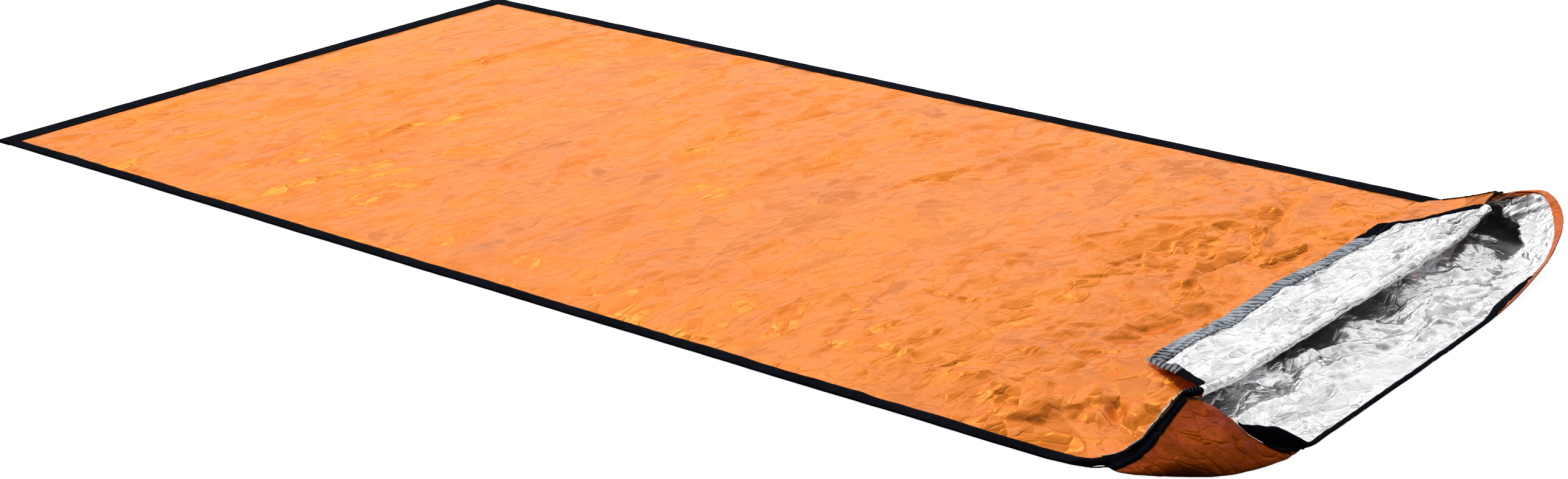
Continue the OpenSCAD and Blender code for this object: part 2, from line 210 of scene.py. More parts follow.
MOUTH_CREASES = [
    (777, -358, 858, -440, -9.0, 15), (593, -183, 673, -64, 4.2, 9), (629, -262, 708, -303, 4.5, 9),
    (613, 380, 700, 170, -6.0, 13), (629, 272, 682, 120, 5.5, 11), (645, 240, 700, 100, -5.0, 10), (620, 103, 666, -12, 5.0, 10),
    (520, 440, 626, 304, 4.5, 12), (606, -44, 614, 6, 4.0, 7), (502, -219, 510, 2, 3.0, 7), (391, -107, 457, -8, 2.6, 7),
    (706, 93, 722, 241, -4.0, 9), (678, -224, 712, -29, 5.0, 9), (690, -190, 730, 0, -4.0, 8), (569, -296, 657, -292, 3.4, 8),
    (735, -330, 800, -425, 5.0, 13), (690, -350, 740, -455, 4.0, 12), (640, 420, 740, 330, 4.0, 12), (700, 440, 800, 380, 4.0, 12),
    (560, -420, 640, -380, 3.2, 9), (470, -440, 560, -470, 2.4, 8), (640, 20, 720, 60, 4.2, 9), (560, 150, 600, 260, 3.6, 9),
] + random_lines(9, 70, (430, 735, -470, 470), (30, 120), (1.4, 3.2), (4, 9), 8, 38) \
  + random_lines(14, 40, (745, 850, -440, 450), (25, 90), (1.2, 2.6), (4, 8), 0, 50)


def top_crinkle(x, y):
    """How far the top film stands off its smooth shape, in millimetres."""
    wx = x + 22 * waves(x, y, 260, 3)
    wy = y + 22 * waves(x, y, 260, 4)
    mouth = ss((x - 430) / 260)
    foot = ss((-560 - x) / 300)
    lively = 0.62 + 0.38 * waves(x, y, 330, 6)
    h = 2.6 * F1(wx, wy, 135, 300, -4)
    h += 1.5 * F2(wx, wy, 52, 150, 6, (0.3, 0.1)) * (1 - 0.5 * mouth)
    h += 0.95 * F3(wx, wy, 23, 62, -8, (0.1, 0.6)) * (0.5 + lively) * (1 - 0.3 * mouth)
    h += 0.42 * F4(wx, wy, 11, 26, 10, (0.7, 0.2)) * (0.4 + lively)
    h += foot * (1.5 * F2(wx, wy, 46, 60, 30, (0.5, 0.2)) + 0.6 * F3(wx, wy, 17, 26, 20))
    h += mouth * (2.2 * F3(wx, wy, 72, 96, 33, (0.4, 0.4)) + 1.9 * F2(wx, wy, 34, 44, -25, (0.8, 0.5))
                  + 1.25 * F4(wx, wy, 17, 21, 50, (0.2, 0.9)) + 0.5 * F3(wx, wy, 9, 12, 15, (0.6, 0.6)))
    h += crease_lines(x, y, LONG_CREASES) * (1 - 0.4 * mouth) + crease_lines(x, y, MOUTH_CREASES)
    # under the folded-back collar the film is pressed flatter
    under = ss((x - 748) / 14) * ss((y + 352) / 30) * ss((412 - y) / 30)
    return h * (1 - 0.72 * under)


def edge_room(x, y):
    """0 at the bindings, 1 well inside them."""
    near = NEAR_IN - 1
    return ss((y + near) / 18) * ss((FAR_IN - 1 - y) / 18) * ss((x - FOOT_IN - 1) / 20)


def silver_crinkle(x, y):
    """The same for the lining that shows in the mouth."""
    wx = x + 12 * waves(x, y, 150, 31)
    wy = y + 12 * waves(x, y, 150, 32)
    h = 3.0 * F1(wx, wy, 60, 120, 28) + 2.0 * F2(wx, wy, 26, 60, 40, (0.2, 0.3)) + 1.1 * F3(wx, wy, 13, 26, 15)
    h += 0.5 * F4(wx, wy, 7, 11, 60)
    return h


# --------------------------------------------------------------- bottom panel
NEAR_K = [
    (718, -488, 0, 718, -518, 0.7, 1), (790, -488, 0, 790, -518, 0.7, 1), (838, -490, 0, 838, -511, 0.7, 1),
    (872, -502, 0, 862, -484, 3, 1), (905, -487, 0, 869, -449, 12, 1), (932, -470, 0, 868, -410, 26, 1),
    (950, -455, 0, 864, -356, 37, 1)]
RIM_K = [
    (963, -440, 0, 895, -358, 35, 1), (975, -420, 0, 926, -363, 27, 1), (986, -394, 0, 955, -369, 16, 1),
    (994, -362, 0, 980, -358, 7, 0.8), (992, -325, 0, 998.4, -326, 1.2, 0), (960, -270, 0, 999.4, -275, 0.4, 0),
    (945, -180, 0, 999.6, -190, 0.3, 0), (940, -50, 0, 999.6, -50, 0.3, 0), (940, 90, 0, 999, 95, 0.4, 0),
    (945, 180, 0, 998, 190, 4, 0), (945, 255, 0, 996, 270, 15, 0), (935, 325, 0, 989, 345, 28, 0.1),
    (918, 385, 0, 974, 408, 42, 0.2), (905, 435, 0, 949, 452, 53, 0.3), (893, 470, 0, 920, 474, 58, 0.5),
    (886, 495, 0, 893, 466, 55, 0.8)]
FAR_K = [
    (876, 507, 0, 866, 450, 47, 1), (862, 510, 0, 857, 480, 41, 1), (840, 512, 0, 836, 499, 29, 1),
    (806, 507, 0, 804, 510, 15, 1), (772, 494, 0, 772, 516, 4, 1), (746, 480, 0, 746, 518, 0.7, 1),
    (718, 480, 0, 718, 518, 0.7, 1)]


def spans(K, step):
    K = np.array(K, float)
    return [max(2, int(math.ceil(max(np.linalg.norm(b[:3] - a[:3]), np.linalg.norm(b[3:6] - a[3:6])) / step))) for a, b in zip(K, K[1:])]


def finer(K, step=3.0):
    """The stations K with more between them: a smooth curve through the floor points and one through the edge points."""
    n = spans(K, step)
    P = curve(np.array(K, float)[:, :6], n)
    k = np.array(K, float)[:, 6]
    c = np.concatenate([mix(a, b, np.arange(m) / m) for a, b, m in zip(k, k[1:], n)] + [k[-1:]])
    return np.column_stack([P, c])


NEAR_S, FAR_S = finer(NEAR_K), finer(FAR_K)
HEAD_S = finer([NEAR_K[6]] + RIM_K + [FAR_K[0]])
HEAD_T = np.concatenate([j + np.arange(m) / m for j, m in enumerate(spans([NEAR_K[6]] + RIM_K + [FAR_K[0]], 3.0))] + [[17.0]])


def rise(S, r):
    """The bottom film at the share r of the way from the floor points of the stations S to their edge points."""
    S = np.asarray(S, float)
    f, e, w = S[:, :3], S[:, 3:6], S[:, 6]
    h = mix(r, 1 - math.cos(math.radians(90 * r)), w)
    v = mix(r ** 1.6, math.sin(math.radians(90 * r)), w)
    xy = f[:, :2] + (e[:, :2] - f[:, :2]) * h[:, None]
    return np.column_stack([xy, e[:, 2] * v])


def profile(S, n=40):
    """(stations, n + 1, 3) points from the floor point to the edge point."""
    return np.stack([rise(S, k / n) for k in range(n + 1)], 1)


def from_edge(G, d):
    """The points at the distances d (one for each station) from the edge, back along the film's rows G."""
    P = G[:, ::-1]
    seg = np.linalg.norm(np.diff(P, axis=1), axis=2)
    s = np.concatenate([np.zeros((len(P), 1)), np.cumsum(seg, 1)], 1)
    d = np.broadcast_to(d, (len(P),))
    return np.array([[np.interp(d[i], s[i], P[i, :, k]) for k in range(3)] for i in range(len(P))])


def closed_loop():
    """All the stations round the bottom panel, and which of them belong to the mouth."""
    near = [(x, -488, 0, x, -EDGE, SEAM_Z, 1) for x in np.arange(FOOT_IN + 30, 706, 12)]
    far = [(x, 480, 0, x, EDGE, SEAM_Z, 1) for x in np.arange(FOOT_IN + 30, 706, 12)][::-1]
    foot = [(FOOT_IN + 12, y, 0, -HALF_L + 2, y, SEAM_Z, 1) for y in np.arange(-456, 457, 12)][::-1]
    corner_f = [(FOOT_IN + 18, 478, 0, -HALF_L + 16, EDGE - 1, SEAM_Z, 1), (FOOT_IN + 14, 474, 0, -HALF_L + 6, EDGE - 5, SEAM_Z, 1)]
    corner_n = [(FOOT_IN + 14, -482, 0, -HALF_L + 3, -EDGE + 1, SEAM_Z, 1), (FOOT_IN + 18, -486, 0, -HALF_L + 14, -EDGE, SEAM_Z, 1)]
    head = np.concatenate([NEAR_S, HEAD_S[1:-1], FAR_S])
    return np.concatenate([np.array(near), head, np.array(far), np.array(corner_f), np.array(foot), np.array(corner_n)]), len(near), len(near) + len(head)


def dist_to(P, line, which=False):
    """The distance of each of the points P from the nearest point of line, in plan."""
    out, nearest = np.empty(len(P)), np.zeros(len(P), int)
    for k in range(0, len(P), 4000):
        q = ((P[k:k + 4000, None, :2] - line[None, :, :2]) ** 2).sum(-1)
        nearest[k:k + 4000] = q.argmin(1)
        out[k:k + 4000] = np.sqrt(q.min(1))
    return (out, nearest) if which else out


def in_loop(P, loop):
    """Whether each point is inside the closed polyline loop, in plan."""
    a, b = loop[:, :2], np.roll(loop[:, :2], -1, 0)
    out = np.zeros(len(P), bool)
    for (ax, ay), (bx, by) in zip(a, b):
        if ay == by:
            continue
        hit = ((ay > P[:, 1]) != (by > P[:, 1]))
        cross = (bx - ax) * (P[:, 1] - ay) / (by - ay) + ax
        out ^= hit & (P[:, 0] < cross)
    return out


# Where the silver floor stays down in the dark gaps under the fold: (y from, y to)
POCKETS = [(-92, -40), (42, 112), (372, 402)]


def under_fold(x, y):
    """The lining rises towards the fold that lies over it, apart from the pockets."""
    low = sum(ss((y - a + 12) / 16) * ss((b + 12 - y) / 16) for a, b in POCKETS)
    bump = np.exp(-((x - 858) / 40.0) ** 2) * (11.0 + 2.5 * waves(x * 0, y, 60, 44))
    return bump * (1 - 0.9 * np.clip(low, 0, 1)) * ss((y + 350) / 90) * ss((430 - y) / 50)


def floor_height(x, y):
    """How far the bottom film stands off the ground."""
    wx = x + 14 * waves(x, y, 170, 51)
    wy = y + 14 * waves(x, y, 170, 52)
    h = 0.7 + 0.9 * F2(wx, wy, 90, 170, 12) + 0.5 * F3(wx, wy, 36, 60, 20)
    head = ss((x - 850) / 40)
    h += head * (2.2 + 2.6 * F3(wx, wy, 34, 78, 32, (0.3, 0.7)) + 1.7 * F2(wx, wy, 17, 38, 44, (0.9, 0.3)) + 0.9 * F4(wx, wy, 9, 16, 20))
    h += head * crease_lines(x, y, FLOOR_CREASES)
    h = np.clip(h, 0.0, None) + under_fold(x, y)
    return np.where((x > 835) & (x < 892), np.minimum(h, 21.0), h)


FLOOR_CREASES = random_lines(77, 46, (885, 985, -400, 430), (40, 190), (2.0, 4.5), (4, 8), 14, 22) + [
    (905, -330, 960, -120, 4.5, 8), (925, -60, 975, 130, 4.0, 8), (900, 60, 935, 260, 3.6, 7), (930, 200, 975, 330, 4.2, 8)]

R_ROWS = 26


def grid_faces(r, c, wrap=False):
    """Quads of a grid of r rows and c columns; with wrap the last column meets the first."""
    i = np.arange(r - 1)[:, None]
    j = np.arange(c if wrap else c - 1)[None, :]
    a, b = i * c + j, i * c + (j + 1) % c
    return np.stack([a, a + c, b + c, b], -1).reshape(-1, 4)


def split(faces):
    """Quads as triangles, so that two films that share them bend along the same diagonals."""
    return np.concatenate([faces[:, [0, 1, 2]], faces[:, [0, 2, 3]]]) if faces.shape[1] == 4 else faces


def bottom_surface():
    """The bottom film, its triangles and quads, and flat coordinates for its pattern."""
    S, h0, h1 = closed_loop()
    n = len(S)
    loop = S[:, :3]
    arc = np.concatenate([[0], np.cumsum(np.linalg.norm(np.diff(loop, axis=0), axis=1))])
    # the floor inside the loop
    rng = np.random.default_rng(8)
    pts = []
    for x_a, x_b, y_a, y_b, d in ((-960, 778, -486, 478, 14.0), (780, 996, -506, 512, 2.9)):
        X, Y = np.meshgrid(np.arange(x_a, x_b, d), np.arange(y_a, y_b, d))
        q = np.stack([X.ravel(), Y.ravel()], 1) + (rng.random((X.size, 2)) - 0.5) * 0.5 * d
        pts.append(q[in_loop(q, loop) & (dist_to(q, loop) > 0.55 * min(d, 4))])
    q = np.concatenate(pts)
    allp = np.concatenate([loop[:, :2], q])
    made = delaunay_2d_cdt([Vector(p) for p in allp], [], [list(range(n))], 1, 1e-6)
    v = np.array([list(p) for p in made[0]])
    src = np.array([o[0] for o in made[3]])
    away, nearest = dist_to(v, loop, True)
    # 1 where the film folds up at the ground line, 0 where it runs on flat to its rim
    folds = np.clip(np.maximum(S[:, 6], ss(S[:, 5] / 25)), 0, 1)
    z = floor_height(v[:, 0], v[:, 1])
    z = 0.25 + z * mix(1.0, 0.25 + 0.75 * ss(away / 16), folds[nearest])
    slot_of = {int(s): k for k, s in enumerate(src)}
    rim_id = np.array([slot_of[k] for k in range(n)])
    floor = np.column_stack([v, z])
    # up the sides
    P = profile(S, R_ROWS)                       # (n, R+1, 3)
    along = np.zeros((n, R_ROWS + 1))
    along[:, 1:] = np.cumsum(np.linalg.norm(np.diff(P, axis=1), axis=2), 1)
    T = np.roll(P, -1, 0) - np.roll(P, 1, 0)
    D = np.empty_like(P)
    D[:, 1:-1] = P[:, 2:] - P[:, :-2]
    D[:, 0], D[:, -1] = P[:, 1] - P[:, 0], P[:, -1] - P[:, -2]
    N = unit(np.cross(T, -D))                    # towards the inside of the sack
    head = np.zeros(n)
    head[h0:h1] = 1
    head = head * ss((S[:, 0] - 770) / 60)
    a2, b2 = arc[:, None] + 0 * along, along
    wob = 2.6 * F2(a2, b2, 60, 34, 20, (0.2, 0.2)) + 2.2 * F3(a2, b2, 24, 30, 35, (0.1, 0.5)) + 1.1 * F4(a2, b2, 11, 13, 10)
    tall = ss((along[:, -1:] - 20) / 40)
    share = along / np.maximum(along[:, -1:], 1e-6)
    wob = wob * (0.4 + 0.6 * tall) * ss(share / 0.3) * (0.25 + 0.75 * ss((1 - share) / 0.3)) * (head * folds)[:, None]
    # the crumpled roll of film inside the far corner
    idx = np.arange(n)
    first_far = h0 + len(NEAR_S) + len(HEAD_S) - 2
    lump = ss((S[:, 4] - 325) / 55) * ((idx > h0 + len(NEAR_S)) & (idx < first_far)) + (idx >= first_far) * (1 - ss((idx - first_far) / 7.0)) * (idx < h1)
    deep = np.interp(idx - (h0 + len(NEAR_S) - 1), np.searchsorted(HEAD_T, [11.5, 12.3, 13.2, 14.2, 15.2, 16.1, 17.0]), [4, 10, 22, 32, 54, 68, 70])
    lump = lump * deep * (1 + 0.10 * waves(arc, 0 * arc, 24, 58))
    roll = ss((share - 0.26) / 0.22) * np.clip((1.0 - share) / 0.46, 0, 1)
    crumple = 0.16 * F3(a2, b2 * 1.6, 19, 17, 30, (0.4, 0.1)) + 0.10 * F4(a2, b2 * 1.6, 9, 10, 0, (0.1, 0.6)) + 0.16 * F2(a2, b2, 34, 40, 12, (0.6, 0.1))
    out_of_wall = lump[:, None] * (roll + crumple * ss((share - 0.26) / 0.22) * ss((1 - share) / 0.10))
    turn = np.interp(idx - (h0 + len(NEAR_S) - 1), np.searchsorted(HEAD_T, [12.3, 15.0]), [0, 1])[:, None, None]
    level = unit(mix(np.array([-0.95, -0.30, 0.06]), np.array([-0.16, -0.98, 0.06]), turn))
    P = P + N * wob[..., None] + level * out_of_wall[..., None]
    extra = 0.25 + floor_height(P[..., 0], P[..., 1]) * ((1 - folds) * head)[:, None] * mix(1.0, 0.2, ss(share))
    extra = extra + (1 - ss(share / 0.3)) * (z[rim_id] - extra[:, 0])[:, None]
    P[..., 2] += extra
    P[:, 0] = floor[rim_id]
    P[..., 2] = np.maximum(P[..., 2], 0.15)
    floor[:, 2] = np.maximum(floor[:, 2], 0.15)
    out = np.stack([np.roll(loop[:, 1], -1) - np.roll(loop[:, 1], 1), np.roll(loop[:, 0], 1) - np.roll(loop[:, 0], -1)], -1)
    out = unit(out)
    base = len(floor)
    V = np.concatenate([floor, P[:, 1:].transpose(1, 0, 2).reshape(-1, 3)])
    unrolled = loop[:, None, :2] + out[:, None] * along[:, 1:, None]
    flat = np.concatenate([np.column_stack([floor[:, :2], 0 * floor[:, 0]]),
                           np.concatenate([unrolled, 0 * b2[:, 1:, None]], -1).transpose(1, 0, 2).reshape(-1, 3)])
    normal = np.concatenate([np.tile([0.0, 0.0, 1.0], (len(floor), 1)), N[:, 1:].transpose(1, 0, 2).reshape(-1, 3)])
    normal[rim_id] = unit(np.array([0, 0, 1.0]) + N[:, 1])
    tris = np.array([list(f) for f in made[2] if len(f) == 3])
    rows = [rim_id] + [base + k * n + np.arange(n) for k in range(R_ROWS)]
    quads = np.concatenate([np.stack([b, np.roll(b, -1), np.roll(a, -1), a], -1) for a, b in zip(rows, rows[1:])])
    return V, tris, quads, flat, normal, P, (h0, h1)


# -------------------------------------------------------- top and mouth panels
def crown(x, y):
    k = ss((x - 450) / 250)
    high, wide = mix(8.5, CROWN, k), mix(150, 100, k)
    return TOP_Z + (high - TOP_Z) * ss((y + NEAR_IN) / wide) * ss((FAR_IN - y) / wide) * ss((x - FOOT_IN) / 140)


def top_surface(r, c):
    # rows lie closer together in the crumpled part by the mouth
    fine = 118
    x = np.concatenate([np.linspace(-HALF_L + 10, 398, r - fine + 1)[:-1], np.linspace(398, CREASE_X, fine)])
    t = np.linspace(-1, 1, c)
    y = EDGE * (t + 0.02 * np.sin(math.pi * t))
    X, Y = np.meshgrid(x, y, indexing="ij")
    Z = crown(X, Y) + top_crinkle(X, Y) * edge_room(X, Y)
    Z = np.maximum(Z, TOP_Z + 1.6 * edge_room(X, Y) ** 0.5)
    return np.stack([X, Y, Z], -1), np.stack([X, Y, 0 * X], -1)


MOUTH_NEAR = curve([(738, -499.4, 2), (795, -499.4, 2.4), (828, -497, 3.8), (853, -481, 6.0), (865, -449, 14), (865.5, -408, 28), (861.5, -353, 39)], 16)
MOUTH_FAR = curve([(738, 491.4, 2), (768, 508, 6), (802, 508.5, 17), (833, 497, 31.5), (854, 478, 43.5), (862, 448, 49.5)], 16)


def at(P, t):
    f = np.clip(t, 0, 1) * (len(P) - 1)
    i = np.minimum(f.astype(int), len(P) - 2)
    return P[i] + (P[i + 1] - P[i]) * (f - i)[..., None]


def mouth_surface(r, c):
    """Rows run from the crease to the fold, columns from the near seam to the far seam."""
    u, w = np.linspace(0, 1, r), np.linspace(0, 1, c)
    v = w - 0.06 * np.sin(2 * math.pi * w)
    U, V = np.meshgrid(u, v, indexing="ij")
    n, f = at(MOUTH_NEAR, U), at(MOUTH_FAR, U)
    e = ss(V / 0.13) * ss((1 - V) / 0.13)
    x = mix(CREASE_X, FOLD_X - 3, U)
    z = mix(CROWN, FOLD_Z - FOLD_R - 0.4, U ** 1.3)
    side = np.where(V < 0.5, 0, 1)
    P = np.stack([mix(np.where(side, f[..., 0], n[..., 0]), x, e), mix(n[..., 1], f[..., 1], V),
                  mix(np.where(side, f[..., 2], n[..., 2]), z, e)], -1)
    N = unit(np.cross(np.gradient(P, axis=0), np.gradient(P, axis=1)))
    room = ss(V / 0.045) * ss((1 - V) / 0.045)
    c_h = top_crinkle(P[..., 0], P[..., 1])
    # the first row takes the top panel's own last row, so the two meet
    meet = ss(U / 0.10)[..., None]
    straight = P.copy()
    straight[..., 2] = crown(P[..., 0], P[..., 1]) + c_h * edge_room(P[..., 0], P[..., 1])
    P = P + N * (c_h * room * (0.35 + 0.65 * ss((1 - U) / 0.12)))[..., None]
    P = mix(straight, P, meet)
    P[..., 2] = np.maximum(P[..., 2], np.minimum(TOP_Z + 1.6 * room ** 0.5, 30))
    return P, np.stack([mix(CREASE_X, FOLD_X - 3, U), P[..., 1], 0 * U], -1), unit(mix(np.array([0, 0, 1.0]), N, meet))


# -------------------------------------------------------------------- collar
def end_lift(y):
    return 6 * ss((-262 - y) / 80) + 14 * ss((y - 300) / 105)


def collar_y(p, q):
    return mix(mix(-342, -252, np.power(p, 0.9)), mix(402, 338, p), q)


# ------------------------------------------------------------------- materials
def srgb(r, g, b):
    f = [c / 255 for c in (r, g, b)]
    return tuple(c / 12.92 if c <= 0.04045 else ((c + 0.055) / 1.055) ** 2.4 for c in f) + (1.0,)


class Nodes:
    def __init__(self, name):
        self.mat = bpy.data.materials.new(name)
        self.mat.use_nodes = True
        self.t = self.mat.node_tree
        self.b = self.t.nodes["Principled BSDF"]

    def add(self, kind, **values):
        n = self.t.nodes.new(kind)
        for k, v in values.items():
            if k in n.bl_rna.properties:
                setattr(n, k, v)
            else:
                n.inputs[k.replace("_", " ")].default_value = v
        return n

    def link(self, a, b):
        self.t.links.new(a, b)

    def flat_coords(self, scale=(1, 1, 1), turn=0.0):
        """Coordinates in the film's own plane, in metres."""
        a = self.add("ShaderNodeAttribute", attribute_name="flat")
        m = self.add("ShaderNodeMapping")
        m.inputs["Scale"].default_value = scale
        m.inputs["Rotation"].default_value = (0, 0, math.radians(turn))
        self.link(a.outputs["Vector"], m.inputs["Vector"])
        return m.outputs["Vector"]

    def math(self, op, a, b=None, c=None):
        n = self.add("ShaderNodeMath", operation=op)
        for k, v in enumerate((a, b, c)):
            if v is None:
                continue
            if isinstance(v, (int, float)):
                n.inputs[k].default_value = v
            else:
                self.link(v, n.inputs[k])
        return n.outputs[0]

    def ramp(self, value, stops, interp="LINEAR"):
        n = self.add("ShaderNodeValToRGB")
        n.color_ramp.interpolation = interp
        e = n.color_ramp.elements
        while len(e) < len(stops):
            e.new(0.5)
        for el, (pos, col) in zip(e, stops):
            el.position, el.color = pos, col
        self.link(value, n.inputs["Fac"])
        return n.outputs["Color"]

    def bump(self, height, strength, distance, normal=None):
        n = self.add("ShaderNodeBump")
        n.inputs["Strength"].default_value = strength
        n.inputs["Distance"].default_value = distance
        self.link(height, n.inputs["Height"])
        if normal is not None:
            self.link(normal, n.inputs["Normal"])
        return n.outputs["Normal"]


def g(v):
    return (v, v, v, 1.0)


def film_material(name, bright, mid, dark, metallic, rough, layers, line, crumple):
    """Thin metallised film.  It breaks into small flat facets, each tilted its
    own way, with fine creases between them.  layers are (facets per metre, how
    much longer they are across the sack, turn, tilt)."""
    m = Nodes(name)
    geo = m.add("ShaderNodeNewGeometry")
    amount = m.add("ShaderNodeAttribute", attribute_name="lively").outputs["Fac"]
    base = m.flat_coords()
    warp = m.add("ShaderNodeTexNoise", Scale=7.0, Detail=3.0, Roughness=0.55)
    m.link(base, warp.inputs["Vector"])
    off = m.add("ShaderNodeVectorMath", operation="MULTIPLY_ADD")
    m.link(warp.outputs["Color"], off.inputs[0])
    off.inputs[1].default_value = (0.045, 0.045, 0.045)
    m.link(base, off.inputs[2])
    patch = m.add("ShaderNodeTexNoise", Scale=5.0, Detail=3.0, Roughness=0.6)
    m.link(base, patch.inputs["Vector"])
    where = m.math("MAXIMUM", m.math("MULTIPLY_ADD", patch.outputs["Fac"], 2.4, -0.5), 0.35)
    where = m.math("MULTIPLY", where, amount)
    normal, lines = geo.outputs["Normal"], None
    for per_m, stretch, turn, tilt in layers:
        mp = m.add("ShaderNodeMapping")
        mp.inputs["Rotation"].default_value = (0, 0, math.radians(turn))
        mp.inputs["Scale"].default_value = (per_m, per_m / stretch, per_m)
        m.link(off.outputs[0], mp.inputs["Vector"])
        cell = m.add("ShaderNodeTexVoronoi", feature="F1", Scale=1.0)
        m.link(mp.outputs["Vector"], cell.inputs["Vector"])
        c = m.add("ShaderNodeVectorMath", operation="SUBTRACT")
        m.link(cell.outputs["Color"], c.inputs[0])
        c.inputs[1].default_value = (0.5, 0.5, 0.5)
        k = m.add("ShaderNodeVectorMath", operation="SCALE")
        m.link(c.outputs[0], k.inputs[0])
        m.link(m.math("MULTIPLY", where, tilt), k.inputs["Scale"])
        add = m.add("ShaderNodeVectorMath", operation="ADD")
        m.link(normal, add.inputs[0])
        m.link(k.outputs[0], add.inputs[1])
        normal = add.outputs[0]
        # creases about 3 mm wide between the facets, whatever their size
        edge = m.add("ShaderNodeTexVoronoi", feature="DISTANCE_TO_EDGE", Scale=1.0)
        m.link(mp.outputs["Vector"], edge.inputs["Vector"])
        width = min(0.0019 * per_m, 0.12)
        e = m.math("MULTIPLY", m.math("MINIMUM", edge.outputs["Distance"], width), 1.0 / width)
        # only some of the facets have a crease round them
        some = m.math("GREATER_THAN", m.math("FRACT", m.math("MULTIPLY", cell.outputs["Color"], 7.3)), 0.42)
        e = m.math("MULTIPLY", e, m.math("MULTIPLY_ADD", some, 0.75, 0.25))
        lines = e if lines is None else m.math("ADD", lines, e)
    unit_n = m.add("ShaderNodeVectorMath", operation="NORMALIZE")
    m.link(normal, unit_n.inputs[0])
    fine = m.add("ShaderNodeTexNoise", Scale=75.0, Detail=4.0, Roughness=0.65)
    m.link(off.outputs[0], fine.inputs["Vector"])
    h = m.math("ADD", m.math("MULTIPLY", lines, line), m.math("MULTIPLY", fine.outputs["Fac"], 0.8))
    m.link(m.bump(m.math("MULTIPLY", h, where), 1.0, crumple, unit_n.outputs[0]), m.b.inputs["Normal"])
    tone = m.math("ADD", m.math("MULTIPLY", patch.outputs["Fac"], 0.7), m.math("MULTIPLY", fine.outputs["Fac"], 0.3))
    m.link(m.ramp(tone, [(0.33, dark), (0.50, mid), (0.66, bright)]), m.b.inputs["Base Color"])
    m.link(m.math("MULTIPLY_ADD", patch.outputs["Fac"], 0.16, rough - 0.08), m.b.inputs["Roughness"])
    m.b.inputs["Metallic"].default_value = metallic
    return m


ORANGE_LAYERS = [(9, 2.6, 5, 0.26), (14, 6.0, -4, 0.15), (26, 2.2, -9, 0.36), (64, 1.8, 14, 0.28)]
ORANGE = film_material("orange_film", (0.89, 0.242, 0.018, 1), (0.81, 0.206, 0.0135, 1), (0.67, 0.152, 0.0075, 1), 0.50, 0.25,
                       ORANGE_LAYERS, 0.40, 0.0012)
ORANGE.b.inputs["Specular IOR Level"].default_value = 0.45
ORANGE.b.inputs["Specular Tint"].default_value = (1.0, 0.78, 0.52, 1)
# a darker, redder copy of the orange film: painted shade for the far rim facing, which stands in shadow
SHADED_RIM_ORANGE = film_material("rim_orange_film_painted_shade", (0.70, 0.140, 0.008, 1), (0.58, 0.108, 0.006, 1), (0.38, 0.065, 0.004, 1), 0.5, 0.28,
                           ORANGE_LAYERS, 0.40, 0.0012)
SHADED_RIM_ORANGE.b.inputs["Specular IOR Level"].default_value = 0.2
# the bottom film's outside gets a darker, browner copy of the orange film: painted shade, standing in for the shadow on
# the cheeks
SHADED_BOTTOM_ORANGE = film_material("bottom_orange_film_painted_shade", (0.33, 0.060, 0.002, 1), (0.24, 0.040, 0.001, 1), (0.12, 0.018, 0.0005, 1), 0.45, 0.32,
                            ORANGE_LAYERS, 0.40, 0.0012)
SHADED_BOTTOM_ORANGE.b.inputs["Specular IOR Level"].default_value = 0.06
SHADED_BOTTOM_ORANGE.b.inputs["Specular Tint"].default_value = (0.55, 0.18, 0.02, 1)
SILVER = film_material("silver_film", (0.97, 0.97, 0.98, 1), (0.94, 0.94, 0.955, 1), (0.89, 0.89, 0.91, 1), 0.86, 0.20,
                       [(9, 4.0, 10, 0.26), (18, 5.0, -4, 0.28), (40, 2.6, -12, 0.36), (90, 1.8, 20, 0.30)], 0.45, 0.0012)


def tape_material(name, dark, light, rough, gather=0.0):
    """Woven binding tape: fine cross ribs and a little dust."""
    m = Nodes(name)
    a = m.add("ShaderNodeAttribute", attribute_name="flat")
    sep = m.add("ShaderNodeSeparateXYZ")
    m.link(a.outputs["Vector"], sep.inputs[0])
    ribs = m.math("SINE", m.math("MULTIPLY", sep.outputs["X"], 2 * math.pi / 0.0016))
    warps = m.math("SINE", m.math("MULTIPLY", sep.outputs["Y"], 2 * math.pi / 0.0011))
    noise = m.add("ShaderNodeTexNoise", Scale=90.0, Detail=5.0, Roughness=0.6)
    m.link(a.outputs["Vector"], noise.inputs["Vector"])
    big = m.add("ShaderNodeTexNoise", Scale=14.0, Detail=3.0, Roughness=0.5)
    m.link(a.outputs["Vector"], big.inputs["Vector"])
    h = m.math("ADD", m.math("MULTIPLY", ribs, 0.5), m.math("MULTIPLY", warps, 0.18))
    h = m.math("ADD", h, m.math("MULTIPLY", noise.outputs["Fac"], 1.2))
    normal = m.bump(h, 0.6, 0.00022)
    tone = m.math("ADD", m.math("MULTIPLY", noise.outputs["Fac"], 0.4), m.math("MULTIPLY", big.outputs["Fac"], 0.6))
    if gather:
        # the tape is gathered into uneven crosswise pleats; the pleat crests are also painted lighter, a painted
        # highlight
        along = m.math("MULTIPLY_ADD", big.outputs["Fac"], 0.030, sep.outputs["X"])
        along = m.math("MULTIPLY_ADD", noise.outputs["Fac"], 0.0045, along)
        pleat = m.math("ABSOLUTE", m.math("SINE", m.math("MULTIPLY", along, math.pi / 0.0105)))
        pleat = m.math("POWER", pleat, 0.7)
        normal = m.bump(pleat, 1.0, gather, normal)
        # painted highlight: lighter tone on the pleat crests
        tone = m.math("MULTIPLY_ADD", pleat, 0.34, m.math("MULTIPLY_ADD", tone, 0.75, -0.12))
    m.link(normal, m.b.inputs["Normal"])
    m.link(m.ramp(tone, [(0.35, dark), (0.68, light)]), m.b.inputs["Base Color"])
    m.b.inputs["Roughness"].default_value = rough
    m.b.inputs["Specular IOR Level"].default_value = 0.05
    m.b.inputs["IOR"].default_value = 1.15
    return m


